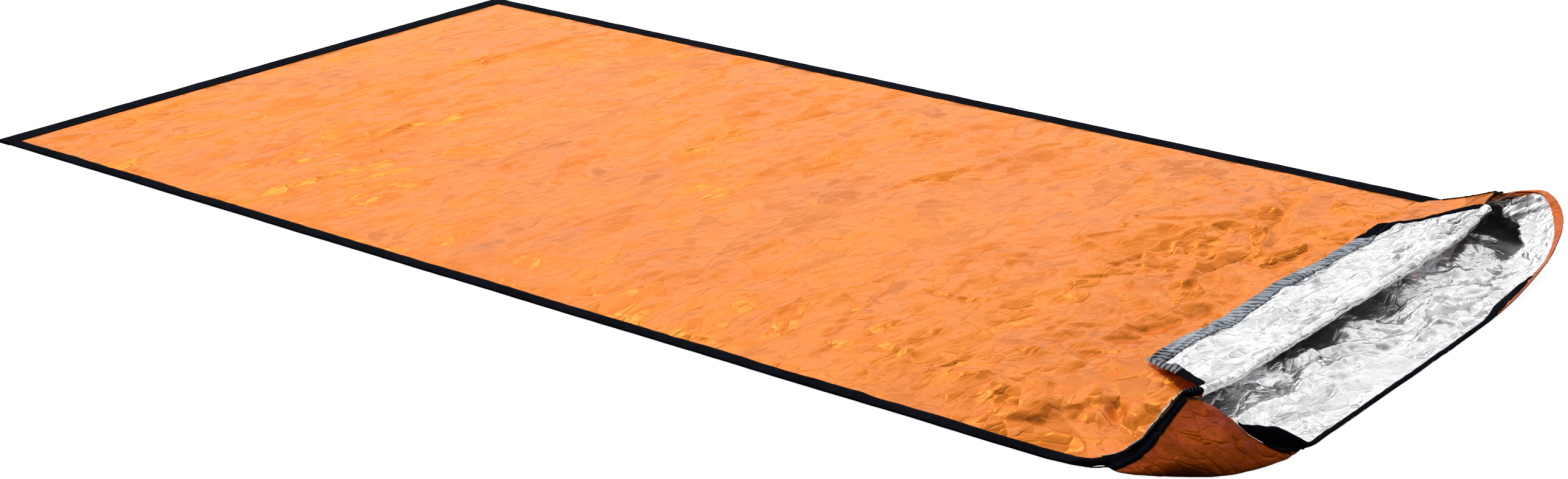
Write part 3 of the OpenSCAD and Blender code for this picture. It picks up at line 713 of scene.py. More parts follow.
TAPE = tape_material("black_tape", (0.0016, 0.0022, 0.0040, 1), (0.0055, 0.0065, 0.010, 1), 0.85)
# painted reflection: the middle of the black hem tape is coloured light grey-blue and made partly metallic, standing in
# for the glare of the bright sky on it
PAINTED_GLARE_HEM = tape_material("hem_tape", (0.09, 0.11, 0.14, 1), (0.42, 0.46, 0.50, 1), 0.38, gather=0.0016)
PAINTED_GLARE_HEM.b.inputs["Metallic"].default_value = 0.55
# painted sheen: the gathered black tape is coloured grey, standing in for light caught by its pleats
GATHERED_SHEEN_TAPE = tape_material("gathered_tape_painted_sheen", (0.004, 0.005, 0.007, 1), (0.26, 0.28, 0.30, 1), 0.40, gather=0.0018)


def thread_material():
    m = Nodes("black_thread")
    a = m.add("ShaderNodeAttribute", attribute_name="flat")
    w = m.add("ShaderNodeTexWave", Scale=900.0, Distortion=1.0)
    m.link(a.outputs["Vector"], w.inputs["Vector"])
    m.link(m.bump(w.outputs["Fac"], 0.6, 0.0001), m.b.inputs["Normal"])
    m.link(m.ramp(w.outputs["Fac"], [(0.2, (0.004, 0.005, 0.006, 1)), (0.9, (0.016, 0.017, 0.020, 1))]), m.b.inputs["Base Color"])
    m.b.inputs["Roughness"].default_value = 0.55
    return m


THREAD = thread_material()


# ---------------------------------------------------------------- mesh making
def make(name, verts, faces, mat, flat=None, smooth=True, lively=None):
    """A mesh object from vertices in millimetres and lists of tris or quads."""
    verts = np.asarray(verts, float).reshape(-1, 3)
    faces = [f for f in (faces if isinstance(faces, list) else [faces]) if len(f)]
    sizes = np.concatenate([np.full(len(f), f.shape[1]) for f in faces])
    loops = np.concatenate([f.ravel() for f in faces]).astype(np.int32)
    me = bpy.data.meshes.new(name)
    me.vertices.add(len(verts))
    me.vertices.foreach_set("co", (verts * 0.001).astype(np.float32).ravel())
    me.loops.add(len(loops))
    me.loops.foreach_set("vertex_index", loops)
    me.polygons.add(len(sizes))
    me.polygons.foreach_set("loop_start", np.concatenate([[0], np.cumsum(sizes)[:-1]]).astype(np.int32))
    me.polygons.foreach_set("loop_total", sizes.astype(np.int32))
    me.polygons.foreach_set("use_smooth", np.full(len(sizes), smooth))
    me.update(calc_edges=True)
    me.validate()
    flat = verts if flat is None else np.asarray(flat, float).reshape(-1, 3)
    at_ = me.attributes.new("flat", "FLOAT_VECTOR", "POINT")
    at_.data.foreach_set("vector", (flat * 0.001).astype(np.float32).ravel())
    if mat in (ORANGE, SHADED_BOTTOM_ORANGE, SHADED_RIM_ORANGE, SILVER):
        if lively is None:
            lively = 0.75 + 0.5 * ss((flat[:, 0] - 430) / 260)
        me.attributes.new("lively", "FLOAT", "POINT").data.foreach_set("value", np.broadcast_to(lively, (len(verts),)).astype(np.float32))
    me.materials.append(mat.mat)
    ob = bpy.data.objects.new(name, me)
    bpy.context.scene.collection.objects.link(ob)
    return ob


def vertex_normals(V, faces):
    N = np.zeros_like(V)
    for f in faces:
        a, b, c = V[f[:, 0]], V[f[:, 1]], V[f[:, 2]]
        n = np.cross(b - a, c - a)
        if f.shape[1] == 4:
            n = np.cross(V[f[:, 2]] - a, V[f[:, 3]] - b)
        for k in range(f.shape[1]):
            np.add.at(N, f[:, k], n)
    return unit(N)


def lift(ob):
    """Bakes the piece's placement into its mesh."""
    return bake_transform(ob)


def sweep(sections, closed=True, cap=True):
    """(n, k, 3) cross sections joined into a tube. Returns vertices and faces."""
    n, k = sections.shape[:2]
    V = sections.reshape(-1, 3)
    i = np.arange(n - 1)[:, None]
    j = np.arange(k if closed else k - 1)[None, :]
    a, b = i * k + j, i * k + (j + 1) % k
    F = [np.stack([a, b, b + k, a + k], -1).reshape(-1, 4)]
    if cap and closed:
        c0, c1 = len(V), len(V) + 1
        V = np.concatenate([V, sections[0].mean(0)[None], sections[-1].mean(0)[None]])
        j = np.arange(k)
        F.append(np.stack([np.full(k, c0), (j + 1) % k, j], -1))
        F.append(np.stack([np.full(k, c1), (n - 1) * k + j, (n - 1) * k + (j + 1) % k], -1))
    return V, F


# ------------------------------------------------------------------ the films
V, tris, quads, flat, NV, SIDE, (H0, H1) = bottom_surface()
NEAR_G = SIDE[H0:H0 + len(NEAR_S)]
HEAD_G = SIDE[H0 + len(NEAR_S) - 1:H0 + len(NEAR_S) - 1 + len(HEAD_S)]
FAR_G = SIDE[H0 + len(NEAR_S) + len(HEAD_S) - 2:H1]
tris = np.concatenate([tris, split(quads)])
# painted shade: the bottom film's outside is the darker orange all over
bottom_outer = make("bottom_film", V, tris[:, ::-1], SHADED_BOTTOM_ORANGE, flat)
bottom_lining = make("bottom_silver", V + NV * GAP, tris, SILVER, flat)

P, flat = top_surface(412, 236)
F = split(grid_faces(*P.shape[:2]))
top_outer = make("top_film", P, F, ORANGE, flat)
top_lining = make("top_silver", P - np.array([0, 0, 0.6]), F[:, ::-1], SILVER, flat)

P, flat, NM = mouth_surface(58, 430)
F = split(grid_faces(*P.shape[:2]))
MOUTH, MOUTH_IN = P, P - NM * 0.6
mouth_outer = make("mouth_film", P, F, ORANGE, flat)
mouth_lining = make("mouth_silver", MOUTH_IN, F[:, ::-1], SILVER, flat)


def mouth_height(x, y):
    """The height of the mouth panel's outside at x, y, from its grid."""
    u = np.clip((x - CREASE_X) / (FOLD_X - 3 - CREASE_X), 0, 1) * (MOUTH.shape[0] - 1)
    i = np.minimum(u.astype(int), MOUTH.shape[0] - 2)
    f = u - i
    out = np.zeros(np.broadcast(x, y).shape)
    for row in np.unique(i):
        m = i == row
        for k, w in ((row, 1 - f[m]), (row + 1, f[m])):
            out[m] += w * np.interp(y[m], MOUTH[k, :, 1], MOUTH[k, :, 2])
    return out


# Fold: the films turn from the mouth panel over the fold into the collar.  The
# rows go by angle about the fold's axis, from -90 below to +90 above.
def fold_surface(rows, cols, off):
    q = np.linspace(0, 1, cols)
    a = np.radians(np.linspace(-90, 90, rows))
    A, Q = np.meshgrid(a, q, indexing="ij")
    y = collar_y(0 * Q, Q)
    lift_ = end_lift(y)
    r = FOLD_R + off + (0.9 * waves(y, 0 * y, 24, 61) + 0.6 * F3(y, A * 12, 14, 8, 5)) * np.cos(A)
    x = FOLD_X + r * np.cos(A) * (1 + 0.25 * waves(y, 0 * y, 70, 62))
    z = FOLD_Z + lift_ + r * np.sin(A)
    P = np.stack([x, y, z], -1)
    # the lowest rows run into the last row of the mouth panel
    last = MOUTH_IN[-1] + (np.array([-5.0, 0, -0.35])) if off else MOUTH[-1]
    to = np.stack([np.interp(y, last[:, 1], last[:, 0]), y, np.interp(y, last[:, 1], last[:, 2])], -1)
    to[..., 2] = np.minimum(to[..., 2], FOLD_Z + lift_ - FOLD_R + 2 - off)
    k = (1 - ss(np.arange(rows) / 4.0))[:, None, None]
    return mix(P, to, k)


def collar_surface(rows, cols, off):
    """Rows run from the top of the fold back to the hem."""
    p, q = np.linspace(0, 1, rows), np.linspace(0, 1, cols)
    Pp, Q = np.meshgrid(p, q, indexing="ij")
    y = collar_y(Pp, Q)
    x = FOLD_X - COLLAR_L * Pp
    x = x + 2.2 * waves(y, 0 * y, 55, 71) * Pp + 1.2 * F3(y, 0 * y, 16, 16, 0, (0.3, 0.5)) * Pp
    rest = mouth_height(x, y) + 1.4 + 1.2 * (1 - ss(Q / 0.09)) + 1.2 * (1 - ss((1 - Q) / 0.09))
    top = FOLD_Z + FOLD_R + end_lift(y) + 0.9 * waves(y, 0 * y, 24, 61) * 0
    w = ss(Pp * 0.5 + 0.5) * 2 - 1
    smooth = mix(top, rest + 1.2, w) + 2.2 * np.sin(math.pi * Pp)
    c = (3.2 * F2(x, y, 34, 120, 6, (0.2, 0.8)) + 2.2 * F3(x, y, 17, 58, -14, (0.7, 0.1)) + 1.0 * F4(x, y, 9, 20, 12)
         + crease_lines(x, y, COLLAR_CREASES))
    room = ss(Pp / 0.16) * (0.35 + 0.65 * ss((1 - Pp) / 0.2)) * (0.3 + 0.7 * ss(Q / 0.05) * ss((1 - Q) / 0.05))
    z = np.maximum(smooth + c * room, rest)
    P = np.stack([x, y, z], -1)
    if off:
        N = unit(np.cross(np.gradient(P, axis=1), np.gradient(P, axis=0)))
        P = P + N * off
    return P


COLLAR_CREASES = random_lines(91, 34, (775, 866, -320, 390), (40, 190), (1.4, 3.4), (4, 8), 6, 16) + [
    (800, -250, 838, 20, 4.2, 9), (818, -120, 850, 150, 3.4, 8), (800, 60, 806, 300, 3.2, 8), (838, -300, 862, -150, 3.0, 6)]

COLS = 470
FS_in, FS_out = fold_surface(15, COLS, 0.0), fold_surface(15, COLS, GAP)
CS_lo, CS_hi = collar_surface(78, COLS, 0.0), collar_surface(78, COLS, GAP)
CS_hi = CS_lo + np.array([0, 0, GAP])
FOLD_F, COLLAR_F = split(grid_faces(15, COLS)), split(grid_faces(78, COLS))
fold_film = make("fold_film", FS_in, FOLD_F[:, ::-1], ORANGE,
                 np.stack([FOLD_X + 0 * FS_in[..., 0], FS_in[..., 1], FS_in[..., 2]], -1))
fold_silver = make("fold_silver", FS_out, FOLD_F, SILVER,
                   np.stack([FOLD_X + FS_in[..., 2], FS_in[..., 1], 0 * FS_in[..., 2]], -1))
collar_film = make("collar_film", CS_lo, COLLAR_F, ORANGE)
collar_silver = make("collar_silver", CS_hi, COLLAR_F[:, ::-1], SILVER,
                     lively=(1.1 + 1.3 * ss((CS_hi[..., 1] - 170) / 130)).ravel())


# ------------------------------------------------------------------- bindings
def tape_section_pts(w, dome=0.35):
    """Section of the folded tape: (distance from the folded edge inwards, height)."""
    return np.array([
        (w, 0.12), (w * 0.5, 0.10), (1.6, 0.10), (0.55, 0.45), (0.05, 1.2), (0.2, 2.05), (1.0, LEG - 0.1),
        (2.4, LEG + 0.05), (w * 0.30, LEG + dome), (w * 0.6, LEG + dome), (w - 3.4, LEG + 0.15), (w - 2.9, LEG - 0.1),
        (w - 2.2, LEG + 0.1), (w - 0.8, LEG), (w - 0.1, LEG - 0.25), (w, LEG - 0.55), (w, 0.55)])


def straight_tape(name, xs, side, w, node, seed):
    """A binding along the near side (side -1) or the far side (+1)."""
    sec = tape_section_pts(w)
    n = len(xs)
    wob = 0.55 * waves(xs, 0 * xs, 90, seed) + 0.25 * waves(xs, 0 * xs, 22, seed + 1)
    hz = 0.35 * waves(xs, 0 * xs, 60, seed + 2) + 0.18 * waves(xs, 0 * xs, 13, seed + 3)
    ww = 1 + 0.045 * waves(xs, 0 * xs, 75, seed + 4) + 0.02 * waves(xs, 0 * xs, 17, seed + 6)
    Y = side * (HALF_W - 0.6 - sec[None, :, 0] * ww[:, None] + np.minimum(wob, 0.55)[:, None])
    if side < 0:
        # the near one follows the edge where it starts to turn in
        Y = Y + np.interp(xs, [796, 822, 838, 850], [0, 3.5, 7.5, 15])[:, None] * (1 - 0.5 * sec[None, :, 0] / w)
    high = ss(sec[:, 1] / LEG)
    Z = sec[None, :, 1] + np.abs(hz)[:, None] * high[None]
    X = np.broadcast_to(xs[:, None], Y.shape)
    S = np.stack([X, Y, Z], -1)
    Vs, Fs = sweep(S)
    fl = np.concatenate([np.stack([X, np.broadcast_to(sec[None, :, 0], X.shape), 0 * X], -1).reshape(-1, 3), np.zeros((2, 3))])
    if side > 0:
        Fs = [f[:, ::-1] for f in Fs]
    ob = make(name, Vs, Fs, TAPE, fl)
    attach(ob, "bag")
    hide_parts(node)
    return ob


near_tape = straight_tape("near_side_tape", np.arange(FOOT_IN - 14, 842.1, 4.0), -1, NEAR_W, "near_side_binding", 101)
far_tape = straight_tape("far_side_tape", np.arange(FOOT_IN - 14, 762.1, 4.0), 1, FAR_W, "far_side_binding", 121)


def foot_tape():
    ys = np.arange(-519.4, 519.5, 3.8)
    sec = tape_section_pts(FAR_W)
    wob = 0.5 * waves(ys, 0 * ys, 80, 141)
    hz = 0.3 * np.abs(waves(ys, 0 * ys, 55, 142)) + 0.15 * np.abs(waves(ys, 0 * ys, 12, 143))
    # the far corner is turned in and rounded off
    t = np.clip((ys - (HALF_W - 16)) / 16, 0, 1)
    inset = 16 * (1 - np.sqrt(np.clip(1 - t * t, 0, 1)))
    tn = np.clip((-ys - (HALF_W - 4)) / 4, 0, 1)
    inset = inset + 3 * (1 - np.sqrt(np.clip(1 - tn * tn, 0, 1)))
    X = -HALF_L + 0.5 + np.maximum(sec[None, :, 0], inset[:, None]) + np.clip(wob, -0.5, 1)[:, None] * (1 - sec[None, :, 0] / FAR_W)
    Z = (sec[None, :, 1] + 0.45 * ss(sec[None, :, 1] / LEG)) + hz[:, None] * ss(sec[:, 1] / LEG)[None]
    Y = np.broadcast_to(ys[:, None], X.shape)
    Vs, Fs = sweep(np.stack([X, Y, Z], -1))
    fl = np.concatenate([np.stack([Y, np.broadcast_to(sec[None, :, 0], X.shape), 0 * X], -1).reshape(-1, 3), np.zeros((2, 3))])
    ob = make("foot_tape", Vs, [f[:, ::-1] for f in Fs], TAPE, fl)
    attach(ob, "bag")
    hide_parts("foot_binding")
    return ob


foot = foot_tape()


def end_tape(name, G, mouth, widths, over, far):
    """The rising end of a side binding: folded over the seam, one leg on the
    cheek's outside and a narrow one on the mouth panel."""
    n = len(G)
    t = np.linspace(0, 1, n)
    w = mix(widths[0], widths[1], ss(1.6 * t))
    E = from_edge(G, 0.2)
    C1, C2 = from_edge(G, w * 0.5), from_edge(G, w)
    M0 = resample(mouth[:, 0], n)
    M1 = resample(mouth[:, 1], n)
    tang = unit(np.gradient(E, axis=0))
    out_c = unit(np.cross(C2 - E, tang)) * (1 if not far else -1)
    out_c = np.where((out_c * (E - np.array([820.0, 0.0, 10.0]))).sum(-1, keepdims=True) < 0, -out_c, out_c)
    dm = unit(M1 - M0)
    out_m = unit(np.cross(tang, dm))
    out_m = np.where(out_m[:, 2:3] < 0, -out_m, out_m)
    up_k = np.clip(E[:, 2:3] / 9.0, 0, 1)
    fold = unit(out_m + out_c * 1.5 * up_k) * (0.7 if far else 1.6)
    ripple = (0.5 * waves(t * 300, 0 * t, 14, 151) + 0.35 * waves(t * 300, 0 * t, 6, 152))[:, None]
    ws = np.full((n, 1), over)
    rows = [C2 + out_c * 0.7, C2 + out_c * (1.5 + ripple), C1 + out_c * (1.7 + ripple), E + out_c * 1.7 + fold * 0.3,
            (E + M0) / 2 + fold * 1.5, M0 + out_m * 1.6 + dm * ws * 0.3, M0 + dm * ws * 0.7 + out_m * (1.4 + ripple),
            M0 + dm * ws + out_m * 1.1, M0 + dm * ws + out_m * 0.4, M0 + out_m * 0.5, (E + M0) / 2, E + out_c * 0.7, C1 + out_c * 0.7]
    sec = np.stack(rows, 1)
    sec[..., 2] = np.maximum(sec[..., 2], 0.15)
    Vs, Fs = sweep(sec)
    arc = np.concatenate([[0], np.cumsum(np.linalg.norm(np.diff(E, axis=0), axis=1))])
    fl = np.concatenate([np.stack([np.broadcast_to(arc[:, None], sec.shape[:2]), np.broadcast_to(np.arange(sec.shape[1]) * 4.0, sec.shape[:2]),
                                   0 * sec[..., 0]], -1).reshape(-1, 3), np.zeros((2, 3))])
    if far:
        Fs = [f[:, ::-1] for f in Fs]
    ob = make(name, Vs, Fs, TAPE, fl)
    lift(ob)
    return ob


near_from = int(np.argmax(NEAR_S[:, 0] > 817))
near_end_tape = end_tape("near_seam_tape", NEAR_G[near_from:], MOUTH[int(MOUTH.shape[0] * 0.42):, :8:7], (13, 15), 1.0, False)
far_to = int(np.argmax(FAR_S[:, 3] < 766))
far_end_tape = end_tape("far_seam_tape", FAR_G[:far_to][::-1], MOUTH[int(MOUTH.shape[0] * 0.2):, -1:-9:-7], (9, 9), 0.4, True)


# ------------------------------------------------------------------- head rim
def rim_strip(name, t0, t1, start, width, low, high, mat, seed):
    """A band along the rim's inside from the place t0 to t1 along the head's
    stations.  start and width are (place, millimetres) pairs."""
    pick = (HEAD_T >= t0) & (HEAD_T <= t1)
    G, t = HEAD_G[pick], HEAD_T[pick]
    d0, w = (np.interp(t, *np.array(k).T) for k in (start, width))
    steps = 9
    rows = np.stack([from_edge(G, d0 + w * k / (steps - 1)) for k in range(steps)], 1)
    T = unit(np.gradient(rows, axis=0))
    D = unit(np.gradient(rows, axis=1))
    N = unit(np.cross(T, D))
    inward = np.array([820.0, 0.0, 60.0]) - rows
    N = np.where((N * inward).sum(-1, keepdims=True) < 0, -N, N)
    arc = np.concatenate([[0], np.cumsum(np.linalg.norm(np.diff(rows[:, 0], axis=0), axis=1))])
    rip = 0.3 * waves(arc, 0 * arc, 16, seed) + 0.15 * waves(arc, 0 * arc, 7, seed + 1)
    ring = np.concatenate([rows + N * low, (rows + N * (high + rip[:, None, None]))[:, ::-1]], 1)
    Vs, Fs = sweep(ring)
    fl = np.concatenate([np.stack([np.broadcast_to(arc[:, None], ring.shape[:2]), np.broadcast_to(np.arange(ring.shape[1]) * 1.6, ring.shape[:2]),
                                   0 * ring[..., 0]], -1).reshape(-1, 3), np.zeros((2, 3))])
    Vs[:, 2] = np.maximum(Vs[:, 2], 0.4)
    ob = make(name, Vs, Fs, mat, fl)
    lift(ob)
    return ob, rows, N, arc


def rim_tape():
    made = rim_strip("head_rim_hem", 3.2, 11.15, [(0, 0.3), (9.6, 0.3), (10.1, 3.4), (11.2, 4.0)],
                     [(3.2, 2), (3.8, 10), (4.5, 10), (5.0, 7), (5.3, 6), (9.3, 6), (9.9, 12), (10.7, 11), (11.2, 2)],
                     0.95, 1.9, TAPE, 161)
    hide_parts("head_rim_tape")
    return made


def rim_flap():
    """Where the rim tape comes off the near corner it stands up as a leaf."""
    pick = (HEAD_T >= 2.25) & (HEAD_T <= 5.15)
    E, t = HEAD_G[pick][:, -1], HEAD_T[pick]
    L = np.interp(t, [2.25, 2.6, 3.0, 3.4, 3.9, 4.4, 4.8, 5.15], [2, 7, 14, 20, 23, 18, 9, 2])[:, None]
    inward = unit(np.array([-0.42, 0.9, 0.0]))
    rows = []
    for k in np.linspace(0, 1, 8):
        rows.append(E + L * (inward * (0.45 * k + 0.30 * k * k) + np.array([0, 0, 1.0]) * (0.95 * k - 0.28 * k * k)) + np.array([0, 0, 0.4]))
    rows = np.stack(rows, 1)
    rows[..., 2] += (0.8 * waves(t[:, None] * 60, np.linspace(0, 20, 8)[None], 16, 195)) * np.linspace(0, 1, 8)
    N = unit(np.cross(unit(np.gradient(rows, axis=0)), unit(np.gradient(rows, axis=1))))
    ring = np.concatenate([rows - N * 0.5, (rows + N * 0.5)[:, ::-1]], 1)
    Vs, Fs = sweep(ring)
    fl = np.concatenate([np.stack([np.broadcast_to(t[:, None] * 30, ring.shape[:2]), np.broadcast_to(np.arange(ring.shape[1]) * 3.0, ring.shape[:2]),
                                   0 * ring[..., 0]], -1).reshape(-1, 3), np.zeros((2, 3))])
    Vs[:, 2] = np.maximum(Vs[:, 2], 0.4)
    ob = make("head_rim_leaf", Vs, Fs, TAPE, fl)
    lift(ob)
    return ob


leaf = rim_flap()
# painted shade: the far rim facing takes the darker copy of the orange film
facing = rim_strip("far_rim_facing", 9.6, 16.9, [(0, 0.2), (17, 0.2)],
                   [(9.6, 0.8), (10.2, 4), (10.9, 5), (11.4, 5.5), (12.2, 6), (12.7, 9), (13.3, 13), (14.3, 12), (15.2, 7), (16.9, 2)],
                   0.8, 1.5, SHADED_RIM_ORANGE, 165)[0]
rim, RIM_ROWS, RIM_N, RIM_ARC = rim_tape()


# ------------------------------------------------------------------ stitching
def stitches(name, path, normal, node, pitch=5.0, length=3.6, dia=0.55, lifted=False, body="bag"):
    """A row of thread stitches along path: each is a short arched strand that goes in at both ends."""
    s = np.concatenate([[0], np.cumsum(np.linalg.norm(np.diff(path, axis=0), axis=1))])
    starts = np.arange(1.0, s[-1] - length - 1, pitch)
    t = np.linspace(0, 1, 6)
    arch = np.sin(math.pi * t) * 0.75 - 0.25
    P = np.empty((len(starts), len(t), 3))
    N = np.empty_like(P)
    for k in range(3):
        P[..., k] = np.interp(starts[:, None] + t[None] * length, s, path[:, k])
        N[..., k] = np.interp(starts[:, None] + t[None] * length, s, normal[:, k])
    N = unit(N)
    P = P + N * (arch[None, :, None] * dia)
    T = unit(np.gradient(P, axis=1))
    B = unit(np.cross(T, N))
    ang = np.linspace(0, 2 * math.pi, 7)[:-1]
    r = dia / 2 * np.sqrt(np.clip(1 - (2 * t - 1) ** 8, 0.25, 1))
    ring = (N[:, :, None] * np.sin(ang)[None, None, :, None] + B[:, :, None] * np.cos(ang)[None, None, :, None]) * r[None, :, None, None]
    V_ = P[:, :, None] + ring                     # (m, 6, 6, 3)
    m, a, b = V_.shape[:3]
    base = np.arange(m)[:, None, None] * a * b
    i, j = np.arange(a - 1)[None, :, None], np.arange(b)[None, None, :]
    q0, q1 = base + i * b + j, base + i * b + (j + 1) % b
    F_ = np.stack([q0, q1, q1 + b, q0 + b], -1).reshape(-1, 4)
    ends = []
    for row, flip in ((0, True), (a - 1, False)):
        idx = base[:, 0, 0][:, None] + row * b + np.arange(b)[None]
        ends.append(idx[:, ::-1] if flip else idx)
    caps = np.concatenate(ends)
    ob = make(name, V_.reshape(-1, 3), [F_, caps[:, [0, 1, 2, 3]], caps[:, [0, 3, 4, 5]]], THREAD)
    if lifted:
        lift(ob)
    else:
        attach(ob, body)
    if node:
        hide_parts(*([node] if isinstance(node, str) else node))
    return ob


xs = np.arange(FOOT_IN + 4, 828, 4.0)
up = np.array([0, 0, 1.0])


def tape_top(xs, side, w, inset, seed):
    hz = np.abs(0.35 * waves(xs, 0 * xs, 60, seed + 2) + 0.18 * waves(xs, 0 * xs, 13, seed + 3))
    ww = 1 + 0.045 * waves(xs, 0 * xs, 75, seed + 4) + 0.02 * waves(xs, 0 * xs, 17, seed + 6)
    return np.stack([xs, side * (HALF_W - 0.6 - (w - inset) * ww), LEG + 0.05 + hz], 1)


near_st = stitches("near_side_stitches", tape_top(xs, -1, NEAR_W, 2.9, 101), np.tile(up, (len(xs), 1)), "near_side_stitching")
xf = np.arange(FOOT_IN + 4, 760, 4.0)
far_st = stitches("far_side_stitches", tape_top(xf, 1, FAR_W, 2.9, 121), np.tile(up, (len(xf), 1)), "far_side_stitching")
yf = np.arange(-508.0, 500, 4.0)
hz = 0.3 * np.abs(waves(yf, 0 * yf, 55, 142)) + 0.15 * np.abs(waves(yf, 0 * yf, 12, 143))
foot_st = stitches("foot_stitches", np.stack([0 * yf - HALF_L + 0.5 + FAR_W - 2.9, yf, LEG + 0.5 + hz], 1), np.tile(up, (len(yf), 1)), "foot_stitching")
rim_path = RIM_ROWS[4:-3, 6] + RIM_N[4:-3, 6] * 1.95
rim_st = stitches("head_rim_stitches", rim_path, RIM_N[4:-3, 6], "head_rim_stitching", lifted=True)


# ------------------------------------------------------------------ collar hem
def hem_band():
    """The tape along the hem and up both slanting ends of the collar."""
    R = CS_hi.shape[0]
    C = CS_hi
    pieces = {}
    # hem: last rows of the collar, gathered into crosswise puckers
    cols = np.arange(6, COLS - 6)
    w_rows = 17
    body = C[R - w_rows:, cols].transpose(1, 0, 2)          # (cols, w_rows, 3): from inner edge to hem
    y = body[:, -1, 1]
    puck = 0.5 + 1.7 * np.abs(np.sin(math.pi * (y + 5 * waves(y, 0 * y, 40, 171)) / 9.0)) ** 0.8 * (0.7 + 0.4 * waves(y, 0 * y, 33, 173)) + 0.5 * F3(y, 0 * y, 5, 5)
    puck = np.maximum(puck, 0.35)
    prof = np.sin(math.pi * np.linspace(0.06, 1.0, w_rows)) ** 0.35
    top = body + np.array([0, 0, 1.0]) * (0.5 + puck[:, None, None] * prof[None, :, None])
    edge = top[:, -1] * np.array([1, 1, 0]) + np.stack([-1.6 - 1.3 * waves(y, 0 * y, 5.5, 174), 0 * y, 0 * y], -1)
    edge[:, 2] = np.maximum(body[:, -1, 2] - 0.7, mouth_height(edge[:, 0], edge[:, 1]) + 0.3)
    under = body[:, -1] + np.array([-1.4, 0, 0.25])
    mesh = np.concatenate([body[:, :1] + np.array([0.3, 0, 0.2]), top, under[:, None], edge[:, None]], 1)
    n, k = mesh.shape[:2]
    near_cut, far_cut = int(0.055 * n), int(0.90 * n)
    # the middle of the hem takes the tape with the painted reflection
    for name, a, b, mat, slot in (("collar_hem_near", 0, near_cut, GATHERED_SHEEN_TAPE, "black_tape"),
                                  ("collar_hem_middle", near_cut - 1, far_cut, PAINTED_GLARE_HEM, "black_tape"),
                                  ("collar_hem_far", far_cut - 1, n, TAPE, "black_tape")):
        part = mesh[a:b]
        fl = np.stack([part[..., 1], np.broadcast_to(np.arange(k) * 1.5, part.shape[:2]), 0 * part[..., 0]], -1)
        ob = make(name, part, grid_faces(b - a, k), mat, fl)
        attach(ob, "collar")
        pieces[name] = ob
    # both slanting ends
    for name, side in (("collar_end_near", 0), ("collar_end_far", 1)):
        rows = np.arange(2, R)
        cc = np.arange(0, 11) if side == 0 else np.arange(COLS - 11, COLS)[::-1]
        body = C[rows][:, cc]
        y0 = np.arange(len(rows))
        pk = 0.5 + 0.5 * np.abs(np.sin(y0 * 0.55 + 0.8 * np.sin(y0 * 0.21)))
        prof = np.sin(math.pi * np.linspace(1.0, 0.05, len(cc))) ** 0.35
        top = body + np.array([0, 0, 1.0]) * (0.45 + pk[:, None, None] * prof[None, :, None])
        lip = body[:, 0] + np.array([0, -1.2 if side == 0 else 1.2, -0.5])
        mesh = np.concatenate([lip[:, None], top, (body[:, -1] + np.array([0, 0, 0.15]))[:, None]], 1)
        fl = np.stack([np.broadcast_to(y0[:, None] * 1.5, mesh.shape[:2]), np.broadcast_to(np.arange(mesh.shape[1]) * 1.5, mesh.shape[:2]), 0 * mesh[..., 0]], -1)
        cut = int(0.46 * len(rows)) if side == 0 else len(rows) - 1
        # the gathered part of each end takes the tape with the painted sheen
        for part, a, b, mat in ((name, 0, cut + 1, TAPE), (name + "_gathers", cut, len(rows), GATHERED_SHEEN_TAPE)):
            if b - a < 3:
                continue
            f = grid_faces(b - a, mesh.shape[1])
            ob = make(part, mesh[a:b], f if side == 0 else f[:, ::-1], mat, fl[a:b])
            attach(ob, "collar")
            pieces[part] = ob
    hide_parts("collar_hem_tape")
    path = C[R - 13, cols[::2]] + np.array([0, 0, 1.5])
    st = stitches("collar_hem_stitches", path, np.tile(up, (len(path), 1)), "collar_hem_stitching", body="collar")
    return pieces, st


HEM_PIECES, hem_st = hem_band()


# the lining's edge stands up as a thin bright lip along the near seam
def seam_lip():
    E = resample(MOUTH[int(MOUTH.shape[0] * 0.42):, 0], 90)
    M1 = resample(MOUTH[int(MOUTH.shape[0] * 0.42):, 9], 90)
    across = unit(M1 - E)
    T = unit(np.gradient(E, axis=0))
    N = np.tile(unit(np.array([-0.15, -0.25, 0.95])), (90, 1))
    t = np.linspace(0, 1, 90)[:, None]
    tall = (1.8 + 3.0 * ss(t / 0.5)) * (1 - 0.6 * ss((t - 0.9) / 0.1)) * (1 + 0.16 * waves(t * 100, 0 * t, 9, 188))
    base = E + across * 1.8
    rows = [base + N * 0.2 + across * 0.8, base + N * (tall * 0.6 + 1.2) + across * 0.7, base + N * (tall + 1.6) - across * 0.1,
            base + N * (tall + 1.5) - across * 0.8, base + N * (tall * 0.6 + 1.2) - across * 0.3, base + N * 0.2]
    Vs, Fs = sweep(np.stack(rows, 1))
    ob = make("near_seam_lip", Vs, Fs, SILVER, Vs)
    lift(ob)
    return ob


lip = seam_lip()


